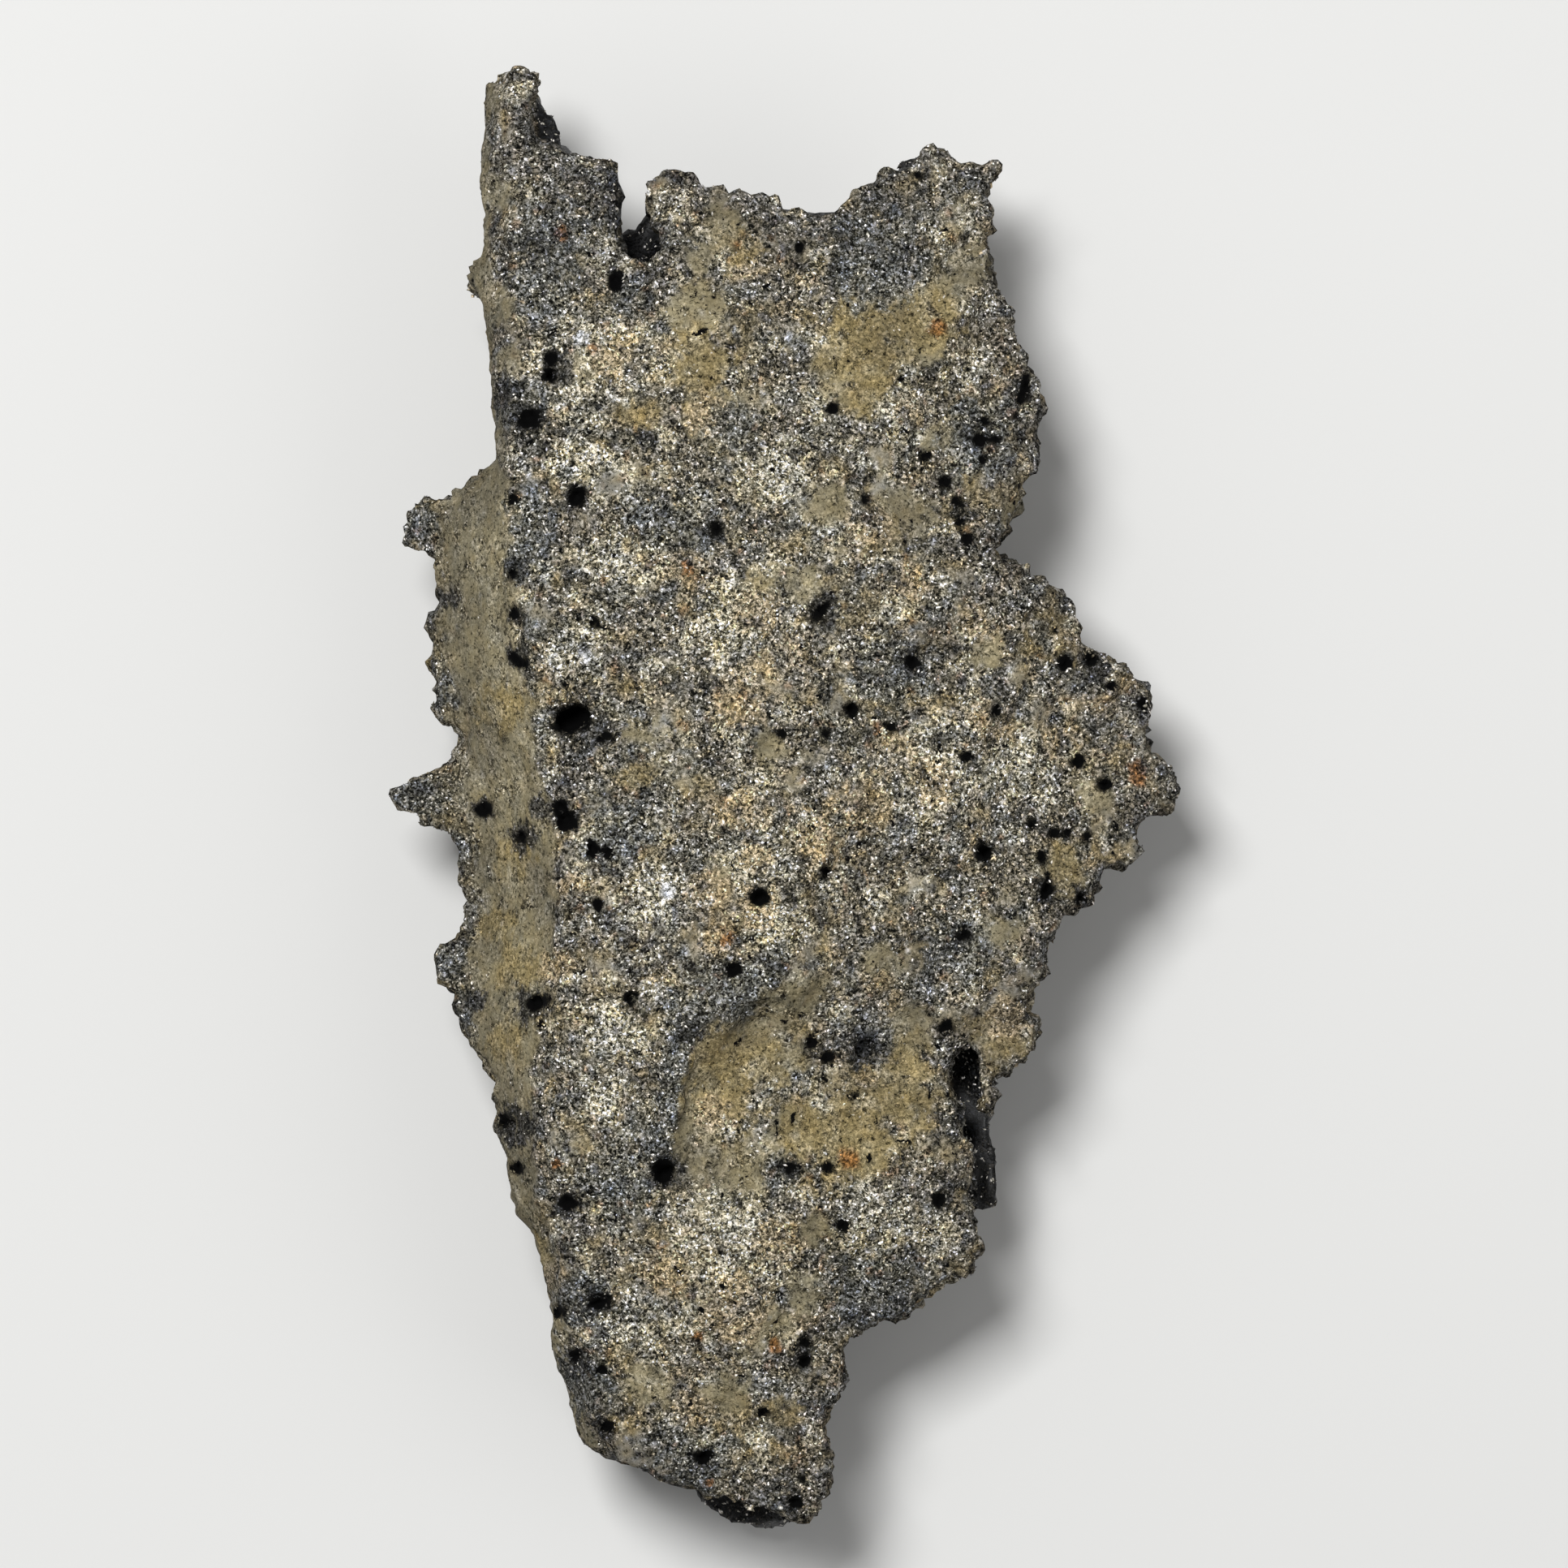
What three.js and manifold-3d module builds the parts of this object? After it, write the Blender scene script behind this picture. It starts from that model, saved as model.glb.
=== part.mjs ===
// A fulgurite: sand fused by lightning into a rough, flattened, hollow glass tube.
// Millimetres, +Z up. The piece lies on its back on the floor, with its long axis along Y.
// A sharp ridge runs down the left of its face, a thin wing spreads to the right, and
// three spurs stand out at the left. The tube is open at both ends.

import * as THREE from "three";
import { mergeVertices } from "three/addons/utils/BufferGeometryUtils.js";
import Module from "manifold-3d";

const wasm = await Module();
wasm.setup();

// ---- driving dimensions, mm ----
const LENGTH = 90.2;
const WIDTH = 48.6;
const DEPTH = 20; // the face may rise no higher
const PARTING_HEIGHT = 8.2; // the front shell starts here, and the back shell ends just above
const PARTING_WAVE = 0.4;
const SHELL_OVERLAP = 1;
const RELIEF_STEP = 1.7; // spacing of the points that carry the relief
const RELIEF_REACH = 4.2; // how far one height station is felt
const FLANK_SLOPE = 1.45; // fall of the smooth left flank, per mm outward from the ridge
const SKIRT_HEIGHT = 10.2; // where that fall eases out into the spurs
const EDGE_CHAMFER = 0.9; // wear along every broken edge
const EDGE_CHAMFER_REACH = 1.7;
const LUMP_HEIGHT = 0.45;
const LEDGE_DROP = 1.7; // step from the grey lump down into the smooth hollow
const LEDGE_RUN = 1.3;
const LUMEN_SIDES = 14;
const LUMEN_SQUARENESS = 2.6; // 2 is an ellipse, more is a rounded box
const WELD = 1e-3; // points closer than this are one

// ---- outlines, seen from above, clockwise from the horn ----
const FRONT_EDGE = {
  horn: [
    [-18.8, 37.6], [-18.6, 39.1], [-18.8, 39.8], [-18.7, 41.6], [-18.8, 43.1], [-18.4, 43.9],
    [-17.8, 44.2], [-17.4, 44.6], [-16.4, 45.1], [-15.9, 45.0], [-15.3, 44.3], [-15.2, 43.2],
    [-15.5, 42.3], [-15.3, 41.1], [-15.3, 40.1],
  ],
  leftLip: [
    [-13.9, 40.0], [-12.8, 39.6], [-11.1, 39.3], [-10.2, 39.1], [-10.0, 38.2], [-10.1, 37.1],
    [-10.0, 36.0], [-10.2, 34.9], [-10.0, 33.9], [-9.3, 33.2], [-8.4, 32.9],
  ],
  rightLip: [
    [-7.6, 33.4], [-7.5, 34.3], [-8.3, 34.9], [-8.8, 36.1], [-8.6, 37.2], [-8.1, 37.8], [-7.5, 38.3],
    [-5.9, 38.3], [-5.1, 37.6], [-3.7, 37.3], [-1.4, 36.7], [-0.4, 36.2], [1.6, 35.9],
    [2.6, 35.8], [3.6, 36.2],
  ],
  crest: [
    [3.9, 37.4], [4.6, 37.7], [5.7, 38.0], [6.6, 38.5], [7.9, 38.8], [8.2, 39.5], [9.1, 40.0],
    [9.8, 39.6], [10.6, 38.9], [11.6, 38.9], [12.2, 39.2], [12.9, 39.0], [13.2, 38.5],
    [12.9, 37.5], [12.5, 37.1],
  ],
  shoulder: [
    [12.7, 35.6], [12.5, 34.2], [12.7, 33.1], [12.6, 32.1], [13.4, 31.2], [14.0, 30.1],
    [13.9, 28.8], [14.5, 28.1], [15.0, 26.8], [15.6, 25.6], [15.7, 24.1], [15.4, 22.1],
    [15.8, 20.3], [15.6, 19.7], [14.7, 19.0], [14.7, 17.7], [13.8, 17.1], [13.9, 16.5],
    [13.1, 15.6], [12.7, 15.0],
  ],
  wingTop: [
    [13.9, 14.4], [14.6, 13.5], [15.9, 13.2], [16.8, 12.4], [17.9, 11.7], [18.2, 11.0],
    [18.3, 9.1], [19.9, 8.9], [20.4, 8.3], [21.6, 7.7], [22.3, 6.5], [22.5, 5.3], [22.2, 3.5],
    [22.7, 2.6], [23.5, 2.5], [23.9, 1.3],
  ],
  wingUnder: [
    [24.3, 0.1], [23.9, -0.7], [22.5, -1.4], [21.9, -2.1], [21.8, -3.4], [21.5, -4.1],
    [19.9, -4.4], [19.0, -5.3], [19.1, -5.9], [18.6, -6.6], [17.1, -7.5], [16.8, -8.4],
    [16.3, -9.5], [16.1, -10.5], [15.2, -11.6], [14.9, -13.4], [15.6, -13.7], [15.4, -15.3],
    [14.6, -16.3], [14.0, -16.9], [13.0, -17.3],
  ],
  breach: [
    [12.9, -18.5], [12.6, -19.1], [12.1, -18.9], [11.9, -17.7], [11.7, -15.6], [10.7, -15.5],
    [10.4, -16.3], [10.2, -17.7], [10.6, -19.5], [11.1, -20.7], [11.7, -21.6], [11.8, -22.8],
    [11.4, -24.4], [11.5, -25.9],
  ],
  lowerRight: [
    [12.0, -27.6], [12.0, -28.4], [11.2, -29.3], [9.6, -30.1], [8.9, -30.8], [7.5, -31.4],
    [6.8, -32.0], [5.4, -32.4], [4.7, -33.0], [3.7, -33.2], [3.4, -34.0], [3.7, -35.1],
    [3.5, -36.1], [2.8, -37.1], [2.3, -38.1],
  ],
  foot: [
    [2.6, -39.4], [2.7, -40.9], [2.5, -42.5], [2.1, -44.3], [1.5, -44.6], [0.4, -44.2],
    [-1.4, -43.8], [-2.9, -43.3], [-4.4, -43.1], [-5.9, -42.7], [-7.3, -42.2], [-8.1, -41.7],
    [-9.6, -41.3], [-10.9, -40.8], [-12.1, -40.3], [-12.7, -39.6],
  ],
  lowerLeft: [
    [-13.0, -38.3], [-13.5, -36.4], [-14.2, -34.5], [-14.5, -32.3], [-14.7, -29.9],
    [-15.2, -27.4], [-15.6, -26.5], [-16.4, -25.8], [-16.8, -24.7], [-17.1, -22.9],
    [-17.7, -20.2], [-18.0, -17.9], [-18.5, -16.2], [-19.5, -15.6],
  ],
  lowSpur: [
    [-19.9, -14.2], [-20.2, -12.1], [-20.9, -11.9], [-21.6, -11.2], [-21.7, -9.8],
    [-21.3, -9.0], [-20.1, -8.5], [-19.7, -7.3], [-19.8, -5.6],
  ],
  middleSpur: [
    [-20.4, -4.3], [-20.3, -3.2], [-21.1, -2.1], [-22.3, -1.8], [-22.8, -1.2], [-24.0, -0.6],
    [-24.3, 0.0], [-23.9, 0.7], [-22.8, 1.3], [-20.8, 2.2], [-20.3, 3.4], [-20.1, 4.1],
  ],
  flank: [
    [-21.1, 4.5], [-22.0, 5.3], [-21.5, 6.1], [-21.8, 6.6], [-21.5, 7.1], [-22.2, 8.1],
    [-21.8, 9.0], [-22.1, 10.2], [-21.8, 11.6], [-21.3, 12.7], [-21.2, 14.1], [-21.5, 14.9],
  ],
  highSpur: [
    [-23.4, 15.2], [-23.7, 16.0], [-23.4, 17.3], [-22.8, 18.2], [-21.9, 18.5], [-20.7, 18.2],
    [-20.4, 18.8], [-18.9, 19.6], [-18.5, 20.1], [-17.8, 20.4], [-17.7, 21.3],
  ],
  upperLeft: [
    [-17.9, 24.1], [-18.2, 27.6], [-18.5, 30.4], [-19.2, 30.9], [-19.6, 31.7], [-19.3, 32.4],
    [-18.7, 32.8], [-18.4, 34.1], [-18.6, 34.5], [-18.5, 36.1],
  ],
};

// The back shell shows past the front one at the horn, the crest, the breach and the foot.
const BACK_EDGE = {
  top: [
    [-18.4, 39.6], [-18.3, 42.1], [-16.9, 42.7], [-15.3, 42.8], [-14.4, 42.1], [-13.8, 41.1],
    [-13.7, 40.2], [-12.4, 38.3], [-11.1, 36.0], [-10.5, 34.9], [-9.1, 34.9], [-8.4, 36.0],
    [-6.9, 37.1], [-3.4, 36.0], [1.6, 34.8], [4.1, 36.0], [5.2, 38.4], [6.0, 39.1],
    [7.2, 39.6], [8.4, 39.1], [10.6, 38.0], [11.9, 37.7],
  ],
  right: [
    [11.9, 32.6], [13.0, 29.1], [14.7, 25.6], [14.9, 21.1], [13.6, 18.1], [12.1, 15.1],
    [15.1, 12.3], [17.4, 10.1], [18.1, 8.1], [21.4, 6.1], [21.6, 2.6], [23.1, 0.3],
    [21.1, -2.4], [18.6, -4.9], [16.1, -7.9], [14.7, -11.4], [14.7, -14.9], [12.8, -17.4],
    [12.7, -20.9], [13.1, -22.9], [13.0, -24.7], [12.7, -25.1], [11.6, -25.2],
  ],
  foot: [
    [11.1, -27.9], [8.9, -30.8], [8.7, -31.5], [7.6, -32.1], [4.6, -32.3], [2.6, -34.4],
    [1.6, -37.9], [1.9, -40.9], [1.1, -44.0], [0.2, -45.0], [-1.9, -45.1], [-3.9, -44.8],
    [-5.3, -43.7], [-5.9, -42.2], [-8.9, -40.9], [-11.9, -39.7],
  ],
  left: [
    [-13.1, -35.9], [-13.9, -30.9], [-14.8, -27.4], [-16.4, -24.4], [-17.3, -19.9],
    [-18.1, -15.9], [-19.4, -14.4], [-19.9, -11.4], [-21.1, -10.4], [-19.6, -8.4],
    [-19.1, -4.9], [-19.9, -2.4], [-23.4, -0.2], [-20.1, 1.6], [-19.4, 4.1], [-21.1, 5.6],
    [-20.9, 9.1], [-21.1, 11.6], [-20.6, 14.6], [-22.9, 16.1], [-21.4, 17.6], [-18.4, 19.1],
    [-17.1, 21.1], [-17.5, 26.6], [-18.1, 32.6], [-18.1, 36.1],
  ],
};

// ---- heights above the floor, as stations [x, y, z] ----
const RIDGE = [
  [-17.3, 44.6, 12.6], [-18.0, 39.1, 13.6], [-17.8, 29.1, 15.2], [-16.9, 21.1, 16.5],
  [-16.4, 14.1, 17.5], [-15.6, 6.6, 18.0], [-13.9, -0.9, 18.0], [-13.9, -6.9, 17.5],
  [-14.9, -15.4, 17.0], [-15.1, -22.9, 16.0], [-13.4, -30.9, 14.8], [-11.4, -39.9, 12.8],
];

const FACE_HEIGHTS = {
  leftPanel: [
    [-15.6, 38, 13.4], [-12.4, 36.1, 14.6], [-14, 30, 16], [-13, 22, 17.4], [-12, 12, 18.4],
    [-11.5, 2, 18.2], [-11, -7, 18], [-12, -15, 18], [-12.5, -25, 16.5], [-11, -34, 15],
  ],
  middle: [
    [-6.4, 36.1, 14.2], [-5.9, 28.1, 17.6], [-8.4, 21.1, 18.2], [-4.4, 11.6, 19.2],
    [-8.9, 4.1, 18.4], [-3.4, -0.9, 19.7], [-5.4, -7.4, 19.3], [-8.9, -15.9, 18.9],
    [-3.4, -18.4, 18.6], [-7.4, -23.4, 17.2], [-3.4, -27.9, 17.6], [-4.4, -35.9, 16],
    [-0.9, -41.9, 13.8], [-8, -40, 13.6],
  ],
  rightPanel: [
    [2.1, 33.6, 14.8], [8.6, 36, 12.8], [4.6, 28.1, 15.6], [1.6, 21.1, 17.8],
    [9.1, 21.1, 14.8], [5.6, 11.6, 17.8], [7.6, 1.1, 18.2], [6.6, -8.4, 17.2],
    [3.6, -20.4, 17.4], [8.6, -18.4, 15.4], [9.1, -25.9, 13.6], [6.6, -30.9, 12.2],
    [1.6, -33.4, 13.8],
  ],
  wing: [
    [13.6, 24.1, 12.4], [11.6, 9.1, 15], [16.6, 6.6, 13], [21.6, 4.1, 11.2],
    [23.6, 0.6, 10.8], [16.6, -3.4, 13], [11.6, -8.4, 14.5], [14.1, -14.4, 11.8],
  ],
};

const BACK_HEIGHTS = {
  keel: [
    [-10.4, 32.6, 0.8], [-9.9, 24.1, -0.6], [-10.4, 14.1, -1.2], [-10.1, 4.1, -1.2],
    [-9.9, -5.9, -1.2], [-9.6, -15.9, -1.2], [-8.9, -25.9, -1.0], [-6.9, -35.9, -0.6],
    [-2.4, -43.4, 2.0],
  ],
  runner: [
    [2.1, 32.6, 3.0], [4.6, 25.6, -0.4], [5.4, 16.6, -1.2], [5.6, 6.6, -1.2],
    [5.4, -3.4, -1.2], [4.6, -13.4, -1.2], [3.1, -22.4, -0.8], [1.6, -30.9, 1.2],
  ],
  valley: [
    [-3.4, 34.1, 3.4], [-2.6, 24.1, 2.0], [-2.6, 11.6, 1.6], [-2.4, -0.9, 1.8],
    [-2.4, -13.4, 1.6], [-2.9, -25.9, 1.5], [-2.9, -34.9, 1.9],
  ],
  leftEdge: [
    [-17.4, 41.1, 8.2], [-17.4, 34.1, 7.2], [-17.9, 25.1, 6.6], [-18.9, 14.1, 6.2],
    [-21.1, 11.6, 7], [-20.4, -0.9, 6.6], [-18.4, -8.4, 6], [-18.9, -14.9, 6.8],
    [-15.9, -25.9, 5.4], [-13.4, -31.9, 4.6], [-11.4, -39.4, 5], [-23.4, 16.6, 7],
    [-23.6, 0.1, 7], [-21.4, -10.4, 7.2],
  ],
  wing: [
    [9.1, 37.6, 8], [11.6, 34.1, 7.6], [14.1, 23.1, 7.8], [11.6, 15.1, 6.6], [14.1, 6.6, 6.2],
    [21.6, 1.6, 7.4], [23.6, 0.1, 7.6], [14.1, -5.9, 6.6], [12.6, -14.9, 7], [12.1, -23.4, 6.4],
    [9.1, -29.4, 6.8], [2.1, -36.9, 5],
  ],
};

// The tube's bore: [y, centre x, centre z, half width, half height].
const LUMEN_STATIONS = [
  [50, -3.0, 9.0, 10.6, 4.2],
  [37, -3.0, 9.0, 10.2, 4.0],
  [26, -3.2, 9.4, 9.8, 5.0],
  [12, -2.6, 9.8, 10.8, 5.6],
  [-2, -2.0, 10.0, 11.2, 5.8],
  [-16, -2.6, 9.2, 10.0, 4.9],
  [-29, -3.6, 9.0, 8.4, 4.5],
  [-40, -5.2, 8.4, 5.6, 3.8],
  [-50, -5.4, 8.4, 5.4, 3.8],
];

// Edge of the grey lump, above the smooth hollow at the lower right.
const LEDGE_LINE = [[0.5, -10.6], [-0.4, -12.4], [-4.2, -13.4], [-6.2, -15.4], [-6.9, -19.4]];
const HOLLOW_CENTRE = [1.2, -17.6];
const HOLLOW_HALF_SIZE = [9.2, 7.4];

// Gas pits on the face: [x, y, half width, half length, turn in degrees].
const PITS = {
  alongTheRidge: [
    [-15.9, 23.3, 0.65, 0.5, 0], [-14.2, 25.8, 0.45, 0.6, 0], [-16.3, 8.5, 0.5, 0.4, 20],
    [-15.9, 10.9, 0.3, 0.5, 0], [-13.5, -1.2, 0.65, 0.8, 0], [-18.5, -0.8, 0.45, 0.45, 0],
    [-16.1, -2.4, 0.4, 0.4, 0], [-15.4, -12.7, 0.75, 0.5, -30], [-16.9, -20.2, 1.1, 0.6, 0],
    [-13.2, -24.6, 0.45, 0.45, 0], [-13.5, -35.1, 0.25, 0.6, 0],
  ],
  leftPanel: [
    [-10.4, 31.6, 0.4, 0.75, 0], [-12.7, 18.4, 0.5, 0.7, 0], [-12.9, 4.8, 1.3, 0.9, 25],
    [-10.9, 3.7, 0.65, 0.4, 0], [-11.8, -3.3, 0.45, 0.45, 0], [-9.5, -12.3, 0.4, 0.4, 0],
    [-11.4, -30.9, 1.0, 0.4, 10], [-7.4, -23.0, 0.65, 0.9, -15], [-5.0, -40.5, 0.5, 0.5, 0],
  ],
  middle: [
    [-1.6, -6.1, 0.55, 0.5, 0], [-3.1, -10.6, 0.5, 0.45, 0], [2.5, -4.6, 0.4, 0.4, 0],
    [4.0, 5.3, 0.4, 0.4, 0], [2.2, 11.3, 0.8, 0.4, 40], [7.7, 8.2, 0.4, 0.4, 0],
    [-4.4, 16.3, 0.4, 0.4, 0], [1.5, -14.9, 0.4, 0.35, 0], [4.9, -15.4, 0.8, 0.7, 0],
    [0.1, -22.7, 0.7, 0.3, 0], [0.9, -33.4, 0.4, 0.4, 0], [-1.4, -37.8, 0.4, 0.4, 0],
    [0.6, -43.2, 0.6, 0.4, 0],
  ],
  wing: [
    [12.4, 23.1, 0.45, 0.45, 0], [11.9, 22.0, 0.4, 0.4, 0], [10.6, 18.1, 0.4, 0.4, 0],
    [10.7, 16.8, 0.35, 0.35, 0], [14.5, 24.8, 0.3, 1.4, 0], [18.9, 8.5, 0.45, 0.35, 0],
    [12.2, -3.4, 0.55, 0.5, 0], [10.9, -8.4, 0.4, 0.4, 0], [9.8, -14.2, 0.4, 0.4, 0],
    [9.4, -24.8, 0.4, 0.4, 0], [19.7, 0.7, 0.4, 0.4, 0], [16.0, -5.8, 0.3, 0.75, 0],
  ],
};
const PIT_DEPTH_PER_WIDTH = 1.7;

// Hollows melted behind the front wall: [x, y, z, half sizes].
const POCKETS = [
  [9.0, -19.4, 10.4, 4.4, 5.2, 1.9],
];

const SURFACE = { color: 0x7d7663, roughness: 0.94, metalness: 0 };

// ---- helpers ----
const points = (stretches) => Object.values(stretches).flat();

function outlineShape(stretches) {
  return new THREE.Shape(points(stretches).map(([x, y]) => new THREE.Vector2(x, y)));
}

function asManifold(geometry) {
  geometry.deleteAttribute("normal");
  geometry.deleteAttribute("uv");
  const welded = mergeVertices(geometry, WELD);
  const mesh = new wasm.Mesh({
    numProp: 3,
    vertProperties: new Float32Array(welded.attributes.position.array),
    triVerts: new Uint32Array(welded.index.array),
  });
  return new wasm.Manifold(mesh);
}

function asGeometry(solid) {
  const mesh = solid.getMesh();
  const geometry = new THREE.BufferGeometry();
  geometry.setAttribute("position", new THREE.BufferAttribute(mesh.vertProperties, 3));
  geometry.setIndex(new THREE.BufferAttribute(mesh.triVerts, 1));
  geometry.computeVertexNormals();
  return geometry;
}

function nearestOnLine(x, y, line) {
  let best = { distance: Infinity, height: 0, side: 0 };
  for (let i = 0; i + 1 < line.length; i += 1) {
    const [ax, ay, az = 0] = line[i];
    const [bx, by, bz = 0] = line[i + 1];
    const run = (bx - ax) ** 2 + (by - ay) ** 2;
    const along = ((x - ax) * (bx - ax) + (y - ay) * (by - ay)) / run;
    const t = THREE.MathUtils.clamp(along, 0, 1);
    const distance = Math.hypot(x - ax - t * (bx - ax), y - ay - t * (by - ay));
    if (distance < best.distance) {
      const side = Math.sign((bx - ax) * (y - ay) - (by - ay) * (x - ax));
      best = { distance, height: az + t * (bz - az), side };
    }
  }
  return best;
}

// A soft average of the height stations round a point.
function blendHeights(x, y, stations) {
  let sum = 0;
  let total = 1e-12;
  for (const [sx, sy, sz] of stations) {
    const away = ((x - sx) ** 2 + (y - sy) ** 2) / (2 * RELIEF_REACH ** 2);
    const weight = Math.exp(-away) + 1e-9 / (1 + away);
    sum += weight * sz;
    total += weight;
  }
  return sum / total;
}

function lumps(x, y) {
  const broad = Math.sin(x / 1.9 + 1.3 * Math.sin(y / 3.1)) * Math.sin(y / 2.3 + Math.sin(x / 2.7));
  const small = Math.sin(1.9 * x + 2.1 * Math.sin(0.8 * y)) * Math.sin(1.7 * y);
  return LUMP_HEIGHT * (broad + 0.6 * small);
}

const frontLine = points(FRONT_EDGE).concat([points(FRONT_EDGE)[0]]);
const faceStations = points(FACE_HEIGHTS).concat(RIDGE);
const backStations = points(BACK_HEIGHTS);

function edgeWear(x, y) {
  const { distance } = nearestOnLine(x, y, frontLine);
  const near = 1 - Math.min(distance / EDGE_CHAMFER_REACH, 1);
  return EDGE_CHAMFER * near * near;
}

// How far the smooth hollow at the lower right sinks the face.
function hollowDepth(x, y) {
  const [hx, hy] = HOLLOW_CENTRE;
  const [hw, hl] = HOLLOW_HALF_SIZE;
  const away = ((x - hx) / hw) ** 2 + ((y - hy) / hl) ** 2;
  const ledge = nearestOnLine(x, y, LEDGE_LINE);
  const past = THREE.MathUtils.smoothstep(ledge.side * ledge.distance, 0, LEDGE_RUN);
  return LEDGE_DROP * past * Math.max(0, 1 - away) ** 0.5;
}

// The ridge is the crease where the granular face meets the flank.
function frontHeight(x, y) {
  const face = blendHeights(x, y, faceStations) + lumps(x, y) - hollowDepth(x, y);
  const ridge = nearestOnLine(x, y, RIDGE);
  const fall = ridge.height - FLANK_SLOPE * ridge.distance;
  const flank = ridge.side < 0 ? Math.max(fall, SKIRT_HEIGHT) : Infinity;
  const height = Math.min(face, flank) - edgeWear(x, y);
  return Math.min(height, DEPTH);
}

// Clamped at the floor, so the keel and the runner end in flat resting patches.
function backHeight(x, y) {
  const back = blendHeights(x, y, backStations) + 0.5 * lumps(y, x) + edgeWear(x, y);
  return Math.max(back, 0);
}

// ---- solids ----
function reliefSlab() {
  const acrossCells = Math.round(WIDTH / RELIEF_STEP) + 1;
  const alongCells = Math.round(LENGTH / RELIEF_STEP) + 1;
  const slab = new THREE.BoxGeometry(WIDTH + 2, LENGTH + 2, 2, acrossCells, alongCells, 1);
  const place = slab.attributes.position;
  for (let i = 0; i < place.count; i += 1) {
    const x = place.getX(i);
    const y = place.getY(i);
    place.setZ(i, place.getZ(i) > 0 ? frontHeight(x, y) : backHeight(x, y));
  }
  return asManifold(slab);
}

function partingHeight(x, y) {
  return PARTING_HEIGHT + PARTING_WAVE * Math.sin(0.9 * x + 1.7 * y);
}

function shellPrism(stretches, isFront) {
  const outline = outlineShape(stretches);
  const prism = new THREE.ExtrudeGeometry(outline, { depth: 1, bevelEnabled: false });
  const place = prism.attributes.position;
  for (let i = 0; i < place.count; i += 1) {
    const parting = partingHeight(place.getX(i), place.getY(i));
    const low = isFront ? parting : -1;
    const high = isFront ? DEPTH + 1 : parting + SHELL_OVERLAP;
    place.setZ(i, place.getZ(i) > 0.5 ? high : low);
  }
  return asManifold(prism);
}

function lumen() {
  const rings = LUMEN_STATIONS.map(([y, cx, cz, halfWidth, halfHeight]) => {
    const ring = [];
    for (let i = 0; i < LUMEN_SIDES; i += 1) {
      const turn = (2 * Math.PI * i) / LUMEN_SIDES;
      const across = Math.sign(Math.cos(turn)) * Math.abs(Math.cos(turn)) ** (2 / LUMEN_SQUARENESS);
      const up = Math.sign(Math.sin(turn)) * Math.abs(Math.sin(turn)) ** (2 / LUMEN_SQUARENESS);
      ring.push([cx + halfWidth * across, y, cz + halfHeight * up]);
    }
    return ring;
  });
  const first = LUMEN_STATIONS[0];
  const last = LUMEN_STATIONS.at(-1);
  const vertices = [...rings.flat(), [first[1], first[0], first[2]], [last[1], last[0], last[2]]];
  const startCentre = vertices.length - 2;
  const endCentre = vertices.length - 1;
  const faces = [];
  for (let side = 0; side < LUMEN_SIDES; side += 1) {
    const next = (side + 1) % LUMEN_SIDES;
    for (let r = 0; r + 1 < rings.length; r += 1) {
      const here = r * LUMEN_SIDES;
      const below = here + LUMEN_SIDES;
      faces.push(here + side, here + next, below + side);
      faces.push(here + next, below + next, below + side);
    }
    const lastRing = (rings.length - 1) * LUMEN_SIDES;
    faces.push(startCentre, next, side);
    faces.push(endCentre, lastRing + side, lastRing + next);
  }
  const geometry = new THREE.BufferGeometry();
  geometry.setAttribute("position", new THREE.Float32BufferAttribute(vertices.flat(), 3));
  geometry.setIndex(faces);
  return asManifold(geometry);
}

function pit([x, y, halfWidth, halfLength, turn]) {
  const depth = PIT_DEPTH_PER_WIDTH * Math.min(halfWidth, halfLength) + 0.5;
  const bubble = new THREE.IcosahedronGeometry(1, 0);
  bubble.scale(halfWidth, halfLength, depth);
  bubble.rotateZ(THREE.MathUtils.degToRad(turn));
  return asManifold(bubble.translate(x, y, frontHeight(x, y)));
}

function pocket([x, y, z, halfWidth, halfLength, halfHeight]) {
  const bubble = new THREE.IcosahedronGeometry(1, 1);
  bubble.scale(halfWidth, halfLength, halfHeight);
  return asManifold(bubble.translate(x, y, z));
}

function fulguriteSolid() {
  const frontShell = shellPrism(FRONT_EDGE, true);
  const backShell = shellPrism(BACK_EDGE, false);
  const body = reliefSlab().intersect(frontShell.add(backShell));
  const hollows = [lumen(), ...points(PITS).map(pit), ...POCKETS.map(pocket)];
  const opened = hollows.reduce((solid, hollow) => solid.subtract(hollow), body);
  const bodies = opened.decompose();
  return bodies.sort((a, b) => b.volume() - a.volume())[0];
}

const material = new THREE.MeshStandardMaterial(SURFACE);
const fulgurite = new THREE.Mesh(asGeometry(fulguriteSolid()), material);
fulgurite.name = "fulgurite";

const part = new THREE.Group();
part.add(fulgurite);

export default part;
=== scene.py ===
# %% [markdown]
# # A fulgurite
# Lightning struck loose sand and fused it into a rough glass tube. This length of it is flattened and
# winged, and lies on its back with the pitted face up. The frame is the plain solid at its real size.
# Everything here dresses that solid: a finer skin, a crust of sand grains, and the colours.

# %% Load the frame
import math
import bpy
import numpy as np
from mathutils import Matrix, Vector, kdtree, noise


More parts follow.
